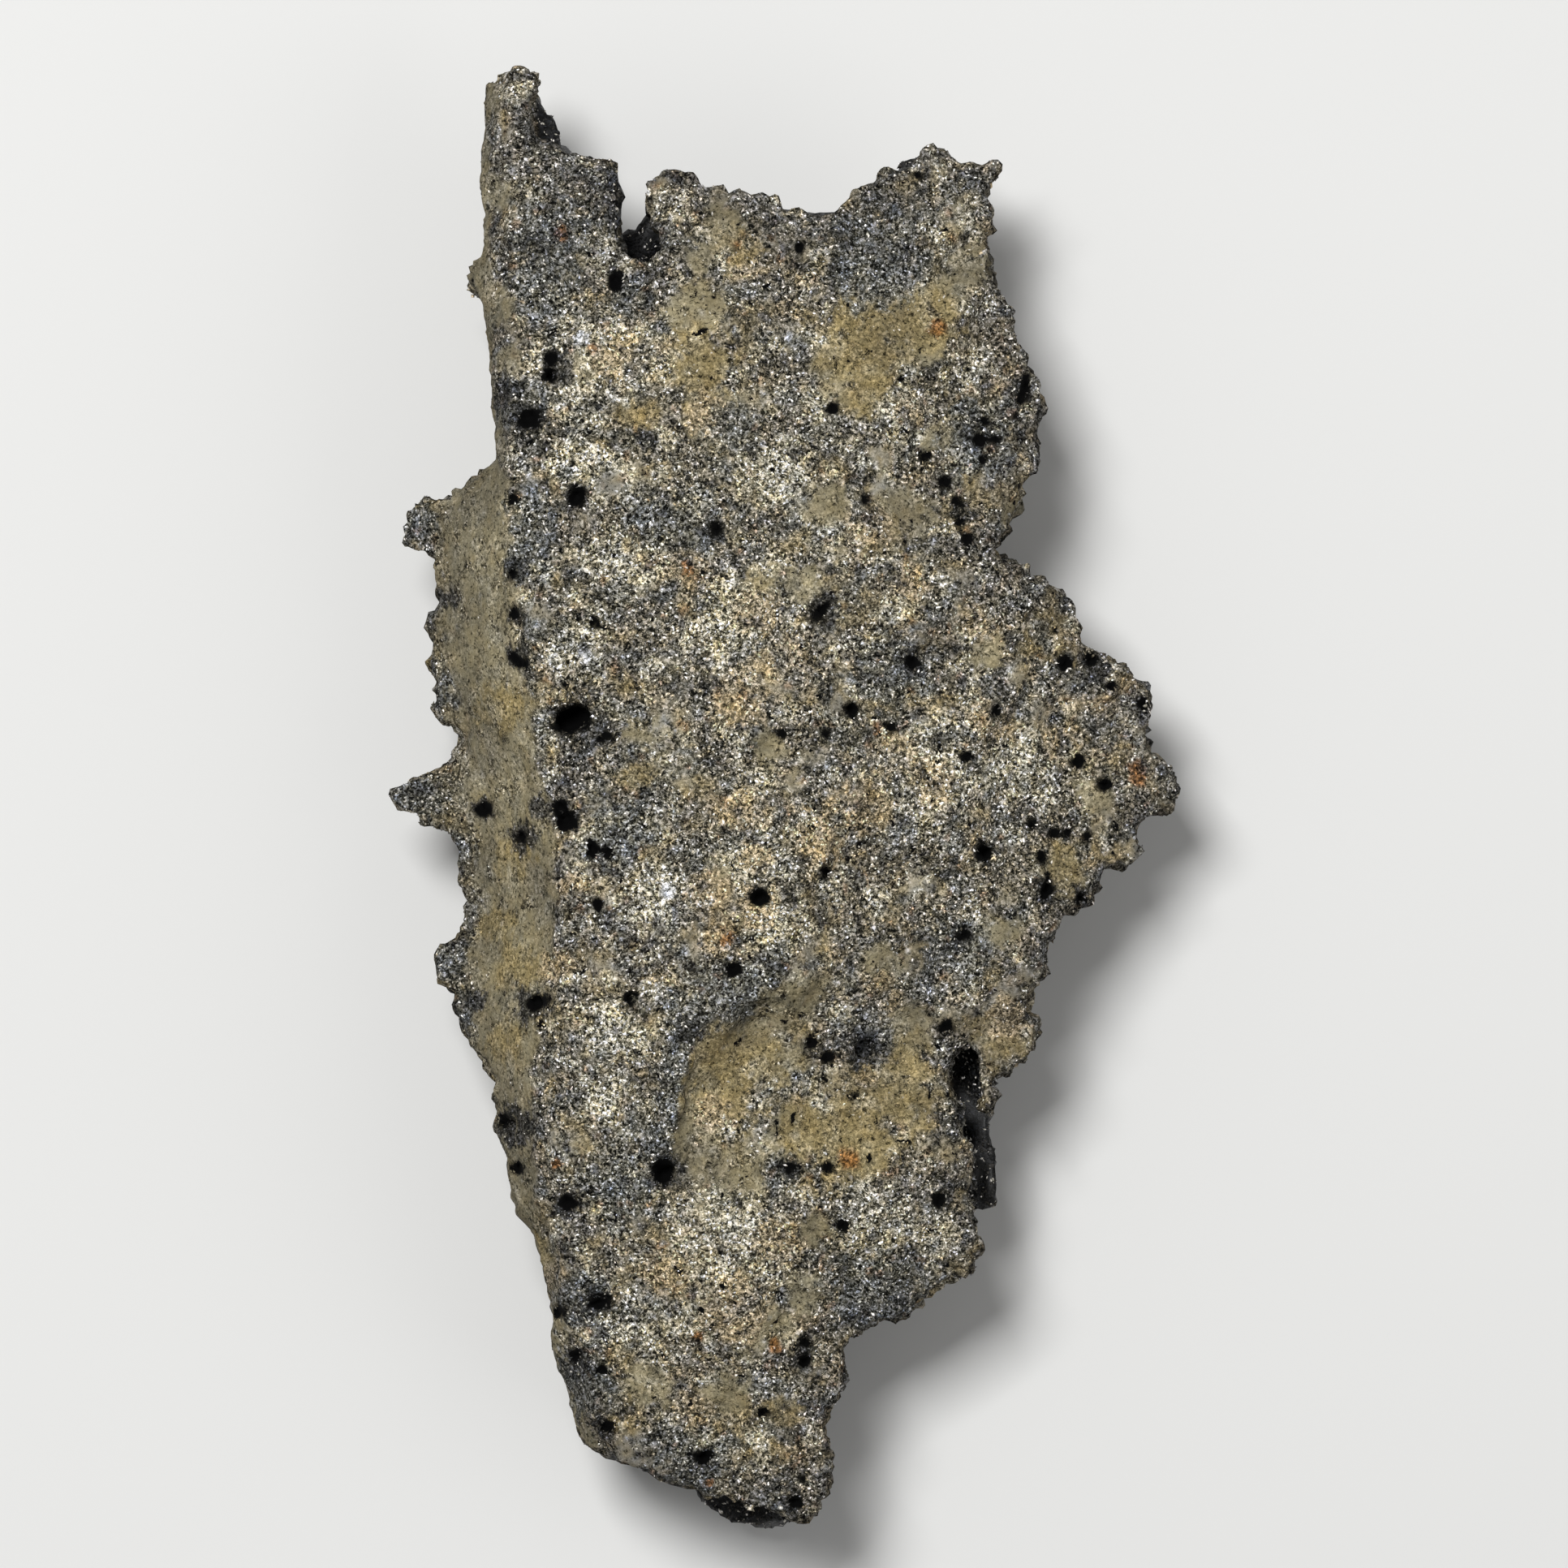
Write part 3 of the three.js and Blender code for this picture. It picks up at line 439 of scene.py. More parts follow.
# %% Patches
# Millimetres: x, y, radius.
PATCHES = {
    "ochre": [
        (4.9, 28.1, 3.2), (8.6, 29.3, 2.2), (5.4, 25.1, 1.8), (-5.4, 26.1, 2.8), (-1.9, 12.1, 1.8),
        (-2.9, -17.4, 3.2), (3.6, -20.9, 3.8), (6.6, -17.4, 3.2), (-4.4, -15.4, 2.2),
        (13.6, -14.4, 1.8), (-0.4, -38.9, 2.2), (-8.8, 24.0, 1.6), (5.8, 16.0, 1.6),
        (16.2, 9.5, 1.8), (-2.9, 33.4, 1.4), (-9.0, 1.6, 1.4), (-17.3, 5.5, 1.6), (-16.6, -3.5, 1.4),
        (-17.6, -8.0, 1.2), (-16.2, -10.4, 1.6), (-17.2, -15.0, 1.3), (-15.2, -28.0, 1.2),
        (-10.4, -38.0, 1.4), (17.3, -4.6, 1.8), (8.6, -29.6, 1.4), (-9.8, 28.6, 1.4),
    ],
    "cream": [
        (-9.9, 27.1, 2.8), (-11.4, 33.6, 1.6), (-2.4, 10.1, 3.4), (-12.4, 9.1, 1.8), (8.6, 1.1, 3.2),
        (14.1, 2.1, 2.2), (-1.9, -2.9, 2.6), (-1.4, -7.7, 2.4), (-8.4, -5.7, 2.2), (-3.9, -27.9, 3.8),
        (-11.4, -32.9, 2.2), (-6.9, -33.4, 2.2), (-10.4, -14.4, 2.0), (-11.1, -17.9, 1.8),
        (-9.9, 14.6, 2.2), (5.6, -25.9, 2.4), (9.1, -26.9, 2.0), (-16.4, 43.6, 1.4), (-6.9, 36.1, 1.4),
        (7.6, 23.6, 1.7), (-0.9, 19.6, 2.2), (-12.6, 20.4, 1.6), (11.4, 26.2, 1.4),
    ],
    "peach": [
        (-2.7, -0.9, 1.9), (-3.8, -8.6, 1.5), (-1.9, -6.8, 1.3), (-1.8, -3.6, 1.1), (9.0, 1.0, 1.6),
        (-5.8, 13.8, 1.4), (-9.8, 26.8, 1.7), (-9.4, 29.4, 1.0), (5.2, 16.6, 1.4), (13.6, -13.8, 1.4),
        (-1.6, 11.2, 1.6), (16.6, 3.6, 1.4), (5.6, -12.2, 1.4), (3.6, -15.2, 1.0), (-4.4, 23.2, 1.5),
        (-14.0, -10.2, 1.0), (-14.2, -29.4, 1.0), (8.0, 23.6, 1.2), (12.6, 25.2, 1.0),
        (-4.6, -19.4, 1.2), (-12.8, -5.4, 1.0), (19.6, 5.4, 1.2), (11.8, 10.6, 1.2), (-5.6, -37.8, 1.2),
        (7.6, 13.2, 1.2), (-11.2, -22.2, 0.8), (-2.8, 6.2, 1.9), (-0.4, 8.6, 1.7), (2.2, -2.8, 1.8),
        (4.8, -0.6, 1.9), (-4.4, -5.6, 1.4), (-3.2, -31.4, 2.2), (-7.4, -29.4, 1.8), (-6.0, -34.4, 1.6),
        (12.8, 4.6, 1.4), (6.6, 2.4, 1.7), (-0.4, -27.0, 1.5),
    ],
    "slate": [
        (-14.4, 34.1, 2.8), (-14.4, 30.6, 2.0), (-16.1, 24.0, 1.8), (-15.6, 17.0, 1.8),
        (-15.4, 14.5, 1.8), (-8.0, 16.8, 1.8), (-5.5, 16.8, 2.0), (5.6, 33.1, 3.2), (-10.0, -2.4, 2.2),
        (-3.4, -11.7, 2.2), (-6.4, -13.4, 1.6), (-10.6, -23.6, 2.6), (-12.4, -30.9, 2.0),
        (-12.4, -35.9, 2.2), (6.6, 7.8, 2.6), (12.1, 22.1, 2.6), (4.6, -14.4, 1.8), (5.5, -30.5, 2.8),
        (-0.2, -22.9, 1.1), (-20.6, -13.0, 1.7), (-20.9, -9.9, 1.3), (-22.7, 16.6, 1.5),
        (-21.7, 6.4, 1.4), (-23.2, 0.2, 1.6), (-20.6, -3.0, 1.2), (10.6, -9.4, 2.2), (-9.4, 30.4, 1.4),
        (-3.2, 22.6, 1.6), (-5.4, -40.6, 2.4),
    ],
    "rust": [
        (-13.7, 34.5, 0.55), (9.2, 28.8, 0.5), (-2.9, 33.8, 0.35), (-11.7, 27.4, 0.4),
        (-6.0, 13.8, 0.45), (5.6, 4.1, 0.4), (21.6, 1.4, 0.7), (-3.5, -8.7, 0.55), (3.8, -22.2, 0.6),
        (-13.9, -22.4, 0.35), (-5.3, -33.0, 0.4), (-0.6, -33.7, 0.55), (-4.6, -42.1, 0.3),
    ],
    "frost": [(-12.5, 28.0, 0.45), (-7.2, -6.0, 0.5), (-12.2, 8.6, 0.4)],
    # Dark grit round the pits, and painted shade where the inside of the back wall shows at notch and
    # horn.
    "dark_grit_and_shade": [
        (-13.9, 26.1, 1.1), (-17.0, 24.6, 1.0), (-15.7, 23.1, 1.1), (-16.4, 13.8, 0.8),
        (-16.3, 11.1, 0.6), (-16.2, 8.6, 0.8), (-12.6, 4.6, 1.9), (-10.8, 3.8, 1.0), (-13.3, -1.2, 1.1),
        (-15.6, -12.7, 1.2), (-6.1, -14.2, 1.0), (-16.7, -20.2, 1.3), (-7.3, -22.9, 1.2),
        (0.1, -22.9, 0.7), (-11.6, -30.9, 1.1), (-12.9, -34.9, 1.1), (-11.1, -38.7, 0.8),
        (-5.0, -40.5, 0.9), (0.9, -34.2, 1.0), (0.6, -43.4, 0.8), (12.1, 22.3, 1.1), (10.9, 17.3, 0.8),
        (14.6, 24.9, 0.9), (2.4, 11.3, 1.1), (19.1, 7.8, 1.2), (17.1, 8.3, 0.7), (22.1, 5.7, 0.6),
        (12.2, -3.4, 0.8), (10.9, -8.4, 0.8), (15.9, -5.8, 0.9), (18.1, -6.2, 0.6), (-8.6, 34.3, 1.3),
        (-9.9, 36.6, 0.7), (-15.4, 33.6, 0.9), (-4.4, 16.3, 0.8), (-8.4, 21.8, 0.7), (-12.7, 18.4, 0.7),
        (-20.8, 12.2, 0.8), (-19.0, -12.6, 0.8), (-18.6, -0.8, 0.7), (-16.2, -2.4, 0.6),
        (10.8, -16.0, 0.9), (10.9, -19.5, 0.7), (7.7, 8.2, 0.7), (-1.6, -6.1, 0.6), (4.9, -15.4, 1.2),
        (-10.7, 38.8, 0.7), (-10.6, 37.6, 0.6), (-10.5, 36.4, 0.6), (-10.4, 35.3, 0.6),
        (-11.6, 39.5, 0.6), (-9.5, 37.4, 0.7), (-8.6, 38.3, 0.7), (-7.3, 38.5, 0.5),
        (-14.6, 42.6, 0.8), (-14.3, 41.4, 0.8), (-13.8, 40.6, 0.6), (-13.1, -24.9, 1.1),
        (-16.1, -2.5, 1.0), (-14.9, -0.7, 0.8), (-4.6, 7.0, 0.8),
    ],
}
print("patches:", {tint: len(spots) for tint, spots in PATCHES.items()})


# %% Tints
def linear(red, green, blue):
    """A screen colour, 0 to 255, as the light that Blender's shaders use."""
    screen = np.array([red, green, blue]) / 255
    return np.where(screen < 0.04045, screen / 12.92, ((screen + 0.055) / 1.055) ** 2.4)


TINTS = {
    "sand": linear(128, 122, 106),
    "tan": linear(123, 115, 91),
    "ochre": linear(134, 119, 80),
    "peach": linear(165, 148, 116),
    "cream": linear(192, 184, 158),
    "slate": linear(111, 112, 105),
    "rust": linear(130, 86, 38),
    "frost": linear(206, 206, 204),
    "dark_grit_and_shade": linear(62, 62, 59),
    # Dark glass of the bore, which is also painted shade where the inside of the back wall shows.
    "glass": linear(15, 16, 17),
    "black": linear(24, 22, 20),
}
print("tints:", ", ".join(TINTS))

# %% How the patches lie
# How thick sand lies on each, from bare glass skin, 0, to loose grit, 1.
GRIT = {"ochre": 0.25, "peach": 0.7, "cream": 0.9, "slate": 1.0, "rust": 0.6, "frost": 0.3, "dark_grit_and_shade": 1.0}
# How much of the colour below each one hides.
COVER = {
    "ochre": 0.7, "peach": 0.75, "cream": 0.9, "slate": 0.8, "rust": 0.8, "frost": 0.9, "dark_grit_and_shade": 0.85,
}
# Random patches between the named ones: size in mm, where the noise starts and ends, strength.
STRAY = {
    "ochre": (2.2, 0.10, 0.40, 0.7),
    "peach": (1.5, 0.25, 0.45, 0.5),
    "cream": (1.4, 0.14, 0.36, 0.8),
    "slate": (1.6, 0.08, 0.34, 0.7),
    "rust": (0.7, 0.50, 0.64, 0.45),
    "frost": (0.5, 0.62, 0.70, 0.6),
    "dark_grit_and_shade": (0.8, 0.26, 0.42, 0.85),
}
FRAY = 0.5  # radii by which noise moves a patch's edge
DARK_GRIT_FRAY = 1.1


def mixed(colour, tint, share):
    """The colour with this share of the tint in it."""
    return colour + share[:, None] * (TINTS[tint] - colour)


def near_spots(p, spots, fray, start, end):
    """1 inside the named spots, 0 outside, with frayed edges."""
    share = np.zeros(len(p))
    for x, y, radius in spots:
        away = np.hypot(p[:, 0] - x, p[:, 1] - y) / radius + FRAY * fray
        share = np.maximum(share, fade(away, start, end))
    return share


print("random patches:", ", ".join(STRAY))


# %% [markdown]
# ## Colour at any place
# The skin and the grains have to match, so both ask one function for their colour. It lays sand, bare
# skin, patches, rim and pits over each other, as thin coats. The rim is the part within a few
# millimetres of the outline, where shade is painted on and the crust is darker. A k-d tree finds the
# nearest place on the side walls quickly, where measuring to each of them would take minutes.

# %% How far a place is from the outline
def edge_finder(p, n):
    """The places on the side walls, ready to be searched."""
    walls = p[(np.abs(n[:, 2]) < 0.25) & (inside_pits(p) < -0.5) & (p[:, 2] > 1)]
    tree = kdtree.KDTree(len(walls))
    for k, (x, y, _) in enumerate(walls.tolist()):
        tree.insert((x, y, 0), k)
    tree.balance()
    return tree


def from_edge(p):
    """How far each place is from the outline, mm."""
    return np.array([edges.find((x, y, 0))[2] for x, y, _ in p.tolist()])


points = places(crust.data)
normals = facing(crust.data)
edges = edge_finder(points, normals)
print("furthest from the outline:", round(from_edge(points).max(), 1), "mm")

# %% Bare skin and grit
def bare_lump_grit(p, face, flank, fray):
    """How bare the skin is, where the grey lump lies, and how thick the sand is, each from 0 to 1."""
    calm = flank * fade(p[:, 2] + 0.8 * fray, 9.8, 11.0)
    bare = np.maximum(face * near_spots(p, BARE_SKIN, fray, 1.25, 0.8), calm)
    ledge = past_ledge(p)
    below = face * fade(p[:, 1], LEDGE_END + 0.3, LEDGE_END - 1)
    bare = np.maximum(bare, below * fade(ledge, 0, 0.2) * fade(ledge, 3.5, 2.0))
    lump = face * fade(ledge, 0.1, -0.1) * fade(ledge + 0.3 * fray, -2.0, -1.2)
    bare = bare * (1 - lump)
    clumps = fade(noise_at(p, 0.9, 20) + 0.35 * noise_at(p, 0.4, 21), 0.22, 0.5)
    grit = fade(noise_at(p, 2.4, 14) + 0.3 * fray, -0.6, -0.1)
    return bare, lump, grit * (1 - bare) + 0.8 * bare * clumps


print("bare skin comes from", len(BARE_SKIN), "places, the flank and the hollow")


# %% Patches over the sand
def patched(p, face, fray, bare, lump, colour, grit):
    """The colour and the grit with each patch laid on, the named ones and the random ones."""
    for k, (tint, spots) in enumerate(PATCHES.items()):
        ragged = fray + (DARK_GRIT_FRAY * noise_at(p, 0.3, 27) if tint == "dark_grit_and_shade" else 0)
        named = face * near_spots(p, spots, ragged, 1.1, 0.75)
        size, start, end, strength = STRAY[tint]
        stray = strength * fade(noise_at(p, size, 7 + k) + 0.12 * fray, start, end)
        if tint == "slate":
            named = np.maximum(named, lump)
        share = COVER[tint] * np.maximum(named, (1 - 0.75 * bare) * stray)
        colour = mixed(colour, tint, share)
        grit = grit + share * (GRIT[tint] - grit)
    return colour, grit


print("order of the patches:", ", ".join(PATCHES))

# %% Drift, and painted shade at the rim
# Painted shade: near the outline the crust is made darker and bluer, as the light falls off there.
EDGE_BAND = 3.0  # mm, where the rim is darker
EDGE_SHADE = 0.28
EDGE_SHADE_HUE = np.array([0.0, 0.01, 0.07])  # how much more of red, green and blue the rim has
HUE_DRIFT = np.array([0.1, 0.0, -0.26])  # how red, green and blue follow the hue noise


def drifted_and_edge_shaded(p, bare, colour):
    """The colour with its tone and hue drifting from place to place, and painted shade at the rim."""
    tone = np.exp(0.25 * noise_at(p, 0.9, 22) + 0.3 * noise_at(p, 2.0, 23))
    hue = (0.6 * noise_at(p, 1.3, 29) + 0.9 * noise_at(p, 0.5, 30)) * (1 - 0.5 * bare)
    painted_edge_shade = fade(from_edge(p), EDGE_BAND, 0.1)
    colour = colour * (tone * (1 - EDGE_SHADE * painted_edge_shade))[:, None]
    return colour * (1 + hue[:, None] * HUE_DRIFT + painted_edge_shade[:, None] * EDGE_SHADE_HUE)


print("the rim is", EDGE_BAND, "mm wide and up to", round(100 * EDGE_SHADE), "percent darker")

# %% Colour and grit of the crust
PIT_RING = 0.22  # mm of dark ring round a pit
PIT_FOOT = 6  # mm, the height that no pit reaches down to


def crust_look(p, up):
    """Colour and grit of the crust at places p in mm; up is how far the surface faces the sky."""
    fray = noise_at(p, 1.1, 5) + 0.8 * noise_at(p, 0.45, 6) + 0.5 * noise_at(p, 0.22, 25)
    face = fade(up, 0.0, 0.4)
    flank = on_flank(p)
    bare, lump, grit = bare_lump_grit(p, face, flank, fray)
    colour = mixed(np.tile(TINTS["sand"], (len(p), 1)), "tan", np.maximum(flank, bare))
    colour, grit = patched(p, face, fray, bare, lump, colour, grit)
    colour = drifted_and_edge_shaded(p, bare, colour)
    # A dark ring round each pit's rim, and black painted shade inside the pits.
    depth = crumbled_pits(p)
    pit_shade_and_ring = face * fade(depth, -PIT_RING, 0) * fade(noise_at(p, 1.5, 24), -0.3, 0.2)
    pit_shade_and_ring = np.maximum(0.8 * pit_shade_and_ring, fade(depth, 0, 0.15) * (p[:, 2] > PIT_FOOT))
    return mixed(colour, "black", pit_shade_and_ring), np.maximum(grit, pit_shade_and_ring)


skin, grit = crust_look(points, normals[:, 2])
print("crust colour, mean:", skin.mean(axis=0).round(3), "grit:", grit.mean().round(2))

# %% Painted shade, glass and holes of the skin
GAP_SHADE = 0.42  # painted shade: how dark the skin is between thick sand
GLASS_AND_SHADE_SHARE = 0.97
PINHOLE_START = 0.52  # of the noise, above which a pinhole is painted as a black spot of shade

bore = in_bore(points)
skin = skin * (1 - (1 - GAP_SHADE) * grit)[:, None]
# The bore's dark glass, which is also painted shade where the inside of the back wall shows.
skin = mixed(skin, "glass", GLASS_AND_SHADE_SHARE * bore)
# Pits and pinholes that open upward are marked for black painted shade.
in_wall = (inside_pits(points) > 0.1) & (points[:, 2] > PIT_FOOT)
open_up = ((normals[:, 2] > 0) | in_wall) * (1 - bore)
pinhole_shade = noise_at(points, 0.55, 28) - PINHOLE_START - 0.2 * on_flank(points)
painted_pit_shade = np.clip(0.5 + np.maximum(crumbled_pits(points), pinhole_shade), 0, 1) * open_up
print("points in holes:", int((painted_pit_shade > 0.5).sum()))


# %% Store colours on the mesh
def store_colour(mesh, name, colours):
    """Keeps one colour for each point of the mesh, where a material can read it."""
    layer = mesh.attributes.new(name, "FLOAT_COLOR", "POINT")
    with_alpha = np.column_stack([colours, np.ones(len(colours))])
    layer.data.foreach_set("color", with_alpha.ravel())


def store_number(mesh, name, values):
    """Keeps one number for each point of the mesh."""
    layer = mesh.attributes.new(name, "FLOAT", "POINT")
    layer.data.foreach_set("value", values)


store_colour(crust.data, "crust_colour", skin)
store_number(crust.data, "grainy", grit)
# The mask of the painted shade in the pits, which the material reads.
store_number(crust.data, "painted_pit_shade", painted_pit_shade)
print("stored:", [layer.name for layer in crust.data.attributes if layer.domain == "POINT"])

# %% [markdown]
# ## Sand grains
# Whole quartz grains are stuck all over the crust. Each is a small longish solid of eight facets that
# lies flat, sunk into the skin. A particle system could strew them, but joined meshes built from
# arrays travel to any program. One grain goes in each small cell of space, so they crowd but don't
# pile up. The back has fewer and larger ones, since nobody looks at it closely.

# %% Scatter places for the grains
random = np.random.default_rng(41)


def triangles(mesh):
    """The corners of the mesh's triangles."""
    mesh.calc_loop_triangles()
    flat = np.empty(3 * len(mesh.loop_triangles), dtype=np.int32)
    mesh.loop_triangles.foreach_get("vertices", flat)
    return flat.reshape(-1, 3)


def scatter(mesh, per_mm2):
    """Random places on the mesh, with the surface's facing there."""
    corners = triangles(mesh)
    p, n = places(mesh), facing(mesh)
    a, b, c = p[corners[:, 0]], p[corners[:, 1]], p[corners[:, 2]]
    area = 0.5 * np.linalg.norm(np.cross(b - a, c - a), axis=1)
    count = int(area.sum() * per_mm2)
    pick = random.choice(len(corners), count, p=area / area.sum())
    u, v = random.random(count), random.random(count)
    over = u + v > 1
    u[over], v[over] = 1 - u[over], 1 - v[over]
    spot = a[pick] + u[:, None] * (b - a)[pick] + v[:, None] * (c - a)[pick]
    out = n[corners[pick]].mean(axis=1)
    return spot, out / np.linalg.norm(out, axis=1)[:, None]


def one_per_cell(spot, cell):
    """Indices that keep one place in each cube of space."""
    key = np.floor(spot / cell).astype(np.int64)
    _, first = np.unique(key, axis=0, return_index=True)
    return first


PLACES_A_MM2 = 60
spot, out = scatter(crust.data, PLACES_A_MM2)
print("places to choose from:", len(spot))

# %% Choose the grains that stay
GRAIN_CELL_FACE = 0.19  # mm
GRAIN_CELL_BACK = 0.42
BARE_SHARE = 0.12  # of the grains, how many stay where the crust is bare

hidden = in_bore(spot) - bare_inside(spot)
in_pit = (crumbled_pits(spot) > 0) & ((out[:, 2] > 0) | (spot[:, 2] > PIT_FOOT))
keep = ~in_pit & (hidden < 0.4) & (spot[:, 2] > 0.3)
spot, out = spot[keep], out[keep]
is_face = out[:, 2] > 0.15
chosen = []
for mask, cell in ((is_face, GRAIN_CELL_FACE), (~is_face, GRAIN_CELL_BACK)):
    rows = np.flatnonzero(mask)
    chosen.append(rows[one_per_cell(spot[rows], cell)])
chosen = np.concatenate(chosen)
spot, out, is_face = spot[chosen], out[chosen], is_face[chosen]
colour, grit = crust_look(spot, out[:, 2])
stays = random.random(len(spot)) < BARE_SHARE + (1 - BARE_SHARE) * grit
spot, out, is_face, colour, grit = (row[stays] for row in (spot, out, is_face, colour, grit))
print("grains:", len(spot), "of them on the face:", int(is_face.sum()))

# %% Tone of each grain
# Share of the grains, and how many times as light as the crust they are.
TONES = [(0.15, 0.15), (0.19, 0.6), (0.28, 1.0), (0.23, 1.55), (0.15, 2.3)]
CLEAR_QUARTZ = linear(214, 209, 197)
QUARTZ_SHARE = 0.05
BRIGHTEST = 0.55  # as light as a grain's colour may be
EVEN_ON_BARE = 0.7  # how much less the grains differ where the skin is bare
QUARTZ_CLEARNESS = 0.8
GRAIN_DRIFT = 0.25  # how much one grain's hue differs from the next
COOL_LIGHTS = 0.08  # light grains are less yellow, and dark ones more

shares = np.array([share for share, _ in TONES])
factors = np.array([factor for _, factor in TONES])
tone = factors[random.choice(len(TONES), len(spot), p=shares / shares.sum())]
tone = tone * random.uniform(0.85, 1.15, len(spot))
tone = tone + EVEN_ON_BARE * (1 - grit) * (1 - tone)
drift = random.normal(0, GRAIN_DRIFT, len(spot))
colour = colour * tone[:, None] * (1 + drift[:, None] * HUE_DRIFT)
colour[:, 2] *= 1 + COOL_LIGHTS * (tone - 1)
# Grains where the inside of the back wall shows take the glass tint as painted shade.
inside = bare_inside(spot)
colour = mixed(colour, "glass", 0.9 * inside)
is_quartz = random.random(len(spot)) < QUARTZ_SHARE + 0.12 * inside
quartz = QUARTZ_CLEARNESS * is_quartz * (0.3 + 0.7 * grit)
colour = np.clip(colour + quartz[:, None] * (CLEAR_QUARTZ - colour), 0, BRIGHTEST)
print("grain colour, mean:", colour.mean(axis=0).round(3))

# %% [markdown]
# ## Meshes for the grains
# Other programs can't read the colours stored on a mesh as Blender does, and get them as a picture.
# For that each grain has a small square of its own on a map. Blender's unwrapping could make one, but
# it takes long for so many loose facets, and simple arithmetic does it at once. The grains are built in
# a few batches, each spread over the whole piece, since one huge mesh is slow to handle.

# %% A map for the grains
TIPS = np.array([(1, 0, 0), (-1, 0, 0), (0, 1, 0), (0, -1, 0), (0, 0, 1), (0, 0, -1)], float)
FACETS = np.array(
    [(0, 2, 4), (2, 1, 4), (1, 3, 4), (3, 0, 4), (2, 0, 5), (1, 2, 5), (3, 1, 5), (0, 3, 5)]
)
# Where the tips lie on a grain's own small square of the map, opened out round its top.
SPREAD = np.array([(1, 0.5), (0, 0.5), (0.5, 1), (0.5, 0), (0.5, 0.5), (0, 0)])
MAP_MARGIN = 0.05


def unfold(mesh, count):
    """A map for the grains, so that their colours can be baked into a picture for other programs."""
    flat = SPREAD[FACETS]
    flat[4:, 2] = flat[4:, 0] + flat[4:, 1] - 0.5
    flat = MAP_MARGIN + (1 - 2 * MAP_MARGIN) * flat.reshape(1, -1, 2)
    side = math.ceil(math.sqrt(count))
    row, column = np.divmod(np.arange(count), side)
    square = np.column_stack([column, row])[:, None]
    layer = mesh.uv_layers.new(name="OFBake")
    layer.data.foreach_set("uv", ((square + flat) / side).ravel())


print("a grain has", len(TIPS), "tips and", len(FACETS), "facets")

# %% One mesh of many grains
GRAIN_SHAPE = np.array([1.5, 0.75, 0.8])  # length, width and height, in radii
GRAIN_FLECKS = 0.6  # how much of the skin's flecks a grain shows
LOWEST = 0.02  # mm over the floor


def grain_mesh(name, spot, out, radius, sink, colour, grit):
    """A piece that holds one grain at each spot."""
    count = len(spot)
    along = np.cross(out, random.normal(size=(count, 3)))
    along /= np.linalg.norm(along, axis=1)[:, None]
    axes = np.stack([along, np.cross(out, along), out], axis=1)
    tips = GRAIN_SHAPE * TIPS * random.uniform(0.75, 1.3, (count, len(TIPS), 1))
    tips = np.einsum("nij,njk->nik", tips, axes)
    centre = spot - (sink * radius)[:, None] * out
    corners = centre[:, None] + radius[:, None, None] * tips
    corners[:, :, 2] = np.maximum(corners[:, :, 2], LOWEST)
    facets = FACETS[None] + len(TIPS) * np.arange(count)[:, None, None]
    mesh = bpy.data.meshes.new(name)
    mesh.from_pydata((corners.reshape(-1, 3) * MM).tolist(), [], facets.reshape(-1, 3).tolist())
    store_colour(mesh, "crust_colour", np.repeat(colour, len(TIPS), axis=0))
    store_number(mesh, "grainy", np.repeat(GRAIN_FLECKS * grit, len(TIPS)))
    mesh.shade_smooth()
    unfold(mesh, count)
    piece = bpy.data.objects.new(name, mesh)
    bpy.context.collection.objects.link(piece)
    return piece


print("a grain of radius 0.1 mm is", [round(0.2 * s, 2) for s in GRAIN_SHAPE.tolist()], "mm")

# %% Build the grains in batches
GRAIN_RADIUS_FACE = 0.115  # mm
GRAIN_RADIUS_BACK = 0.22
GRAIN_SINK = 0.3  # radii
EDGE_SINK = 0.75  # grains on the outline are sunk deeper, since the real edge is worn
GRAINS_A_MESH = 24900

radius = np.where(is_face, GRAIN_RADIUS_FACE, GRAIN_RADIUS_BACK)
radius = radius * random.uniform(0.7, 1.35, len(spot)) * (0.75 + 0.25 * grit)
edge = fade(np.abs(out[:, 2]), 0.75, 0.35)
sink = GRAIN_SINK + edge * (EDGE_SINK - GRAIN_SINK)
count = math.ceil(len(spot) / GRAINS_A_MESH)
batches = [np.arange(k, len(spot), count) for k in range(count)]
grains = []
for k, rows in enumerate(batches):
    looks = (radius[rows], sink[rows], colour[rows], grit[rows])
    grains.append(grain_mesh(f"grains_{k + 1}", spot[rows], out[rows], *looks))
print("grain meshes:", [len(piece.data.polygons) for piece in grains])

# %% [markdown]
# ## Materials
# The skin between the grains is finer sand in dark glass, too fine to model. A swirled noise stands for
# it: its low values are dark gaps, painted shade between the fine grains, and its high values bright
# flecks, light grains with painted highlights. A ramp turns the noise into a factor on the stored
# colour, steep where grit lies thick and gentle where bare skin shows.
# The grains carry the same flecks, so they belong to the crust. The pits get black painted shade from
# the stored depth, since the net alone is too coarse for a sharp rim.

# %% Node helpers
def new_material(name):
    """A material with its node tree and main shader."""
    material = bpy.data.materials.new(name)
    material.use_nodes = True
    tree = material.node_tree
    return material, tree, tree.nodes["Principled BSDF"]


def add_node(tree, kind, **settings):
    """A new node with these settings."""
    node = tree.nodes.new(kind)
    for key, value in settings.items():
        setattr(node, key, value)
    return node


def stored(tree, name):
    """A node that reads what is stored on the mesh."""
    return add_node(tree, "ShaderNodeAttribute", attribute_name=name)


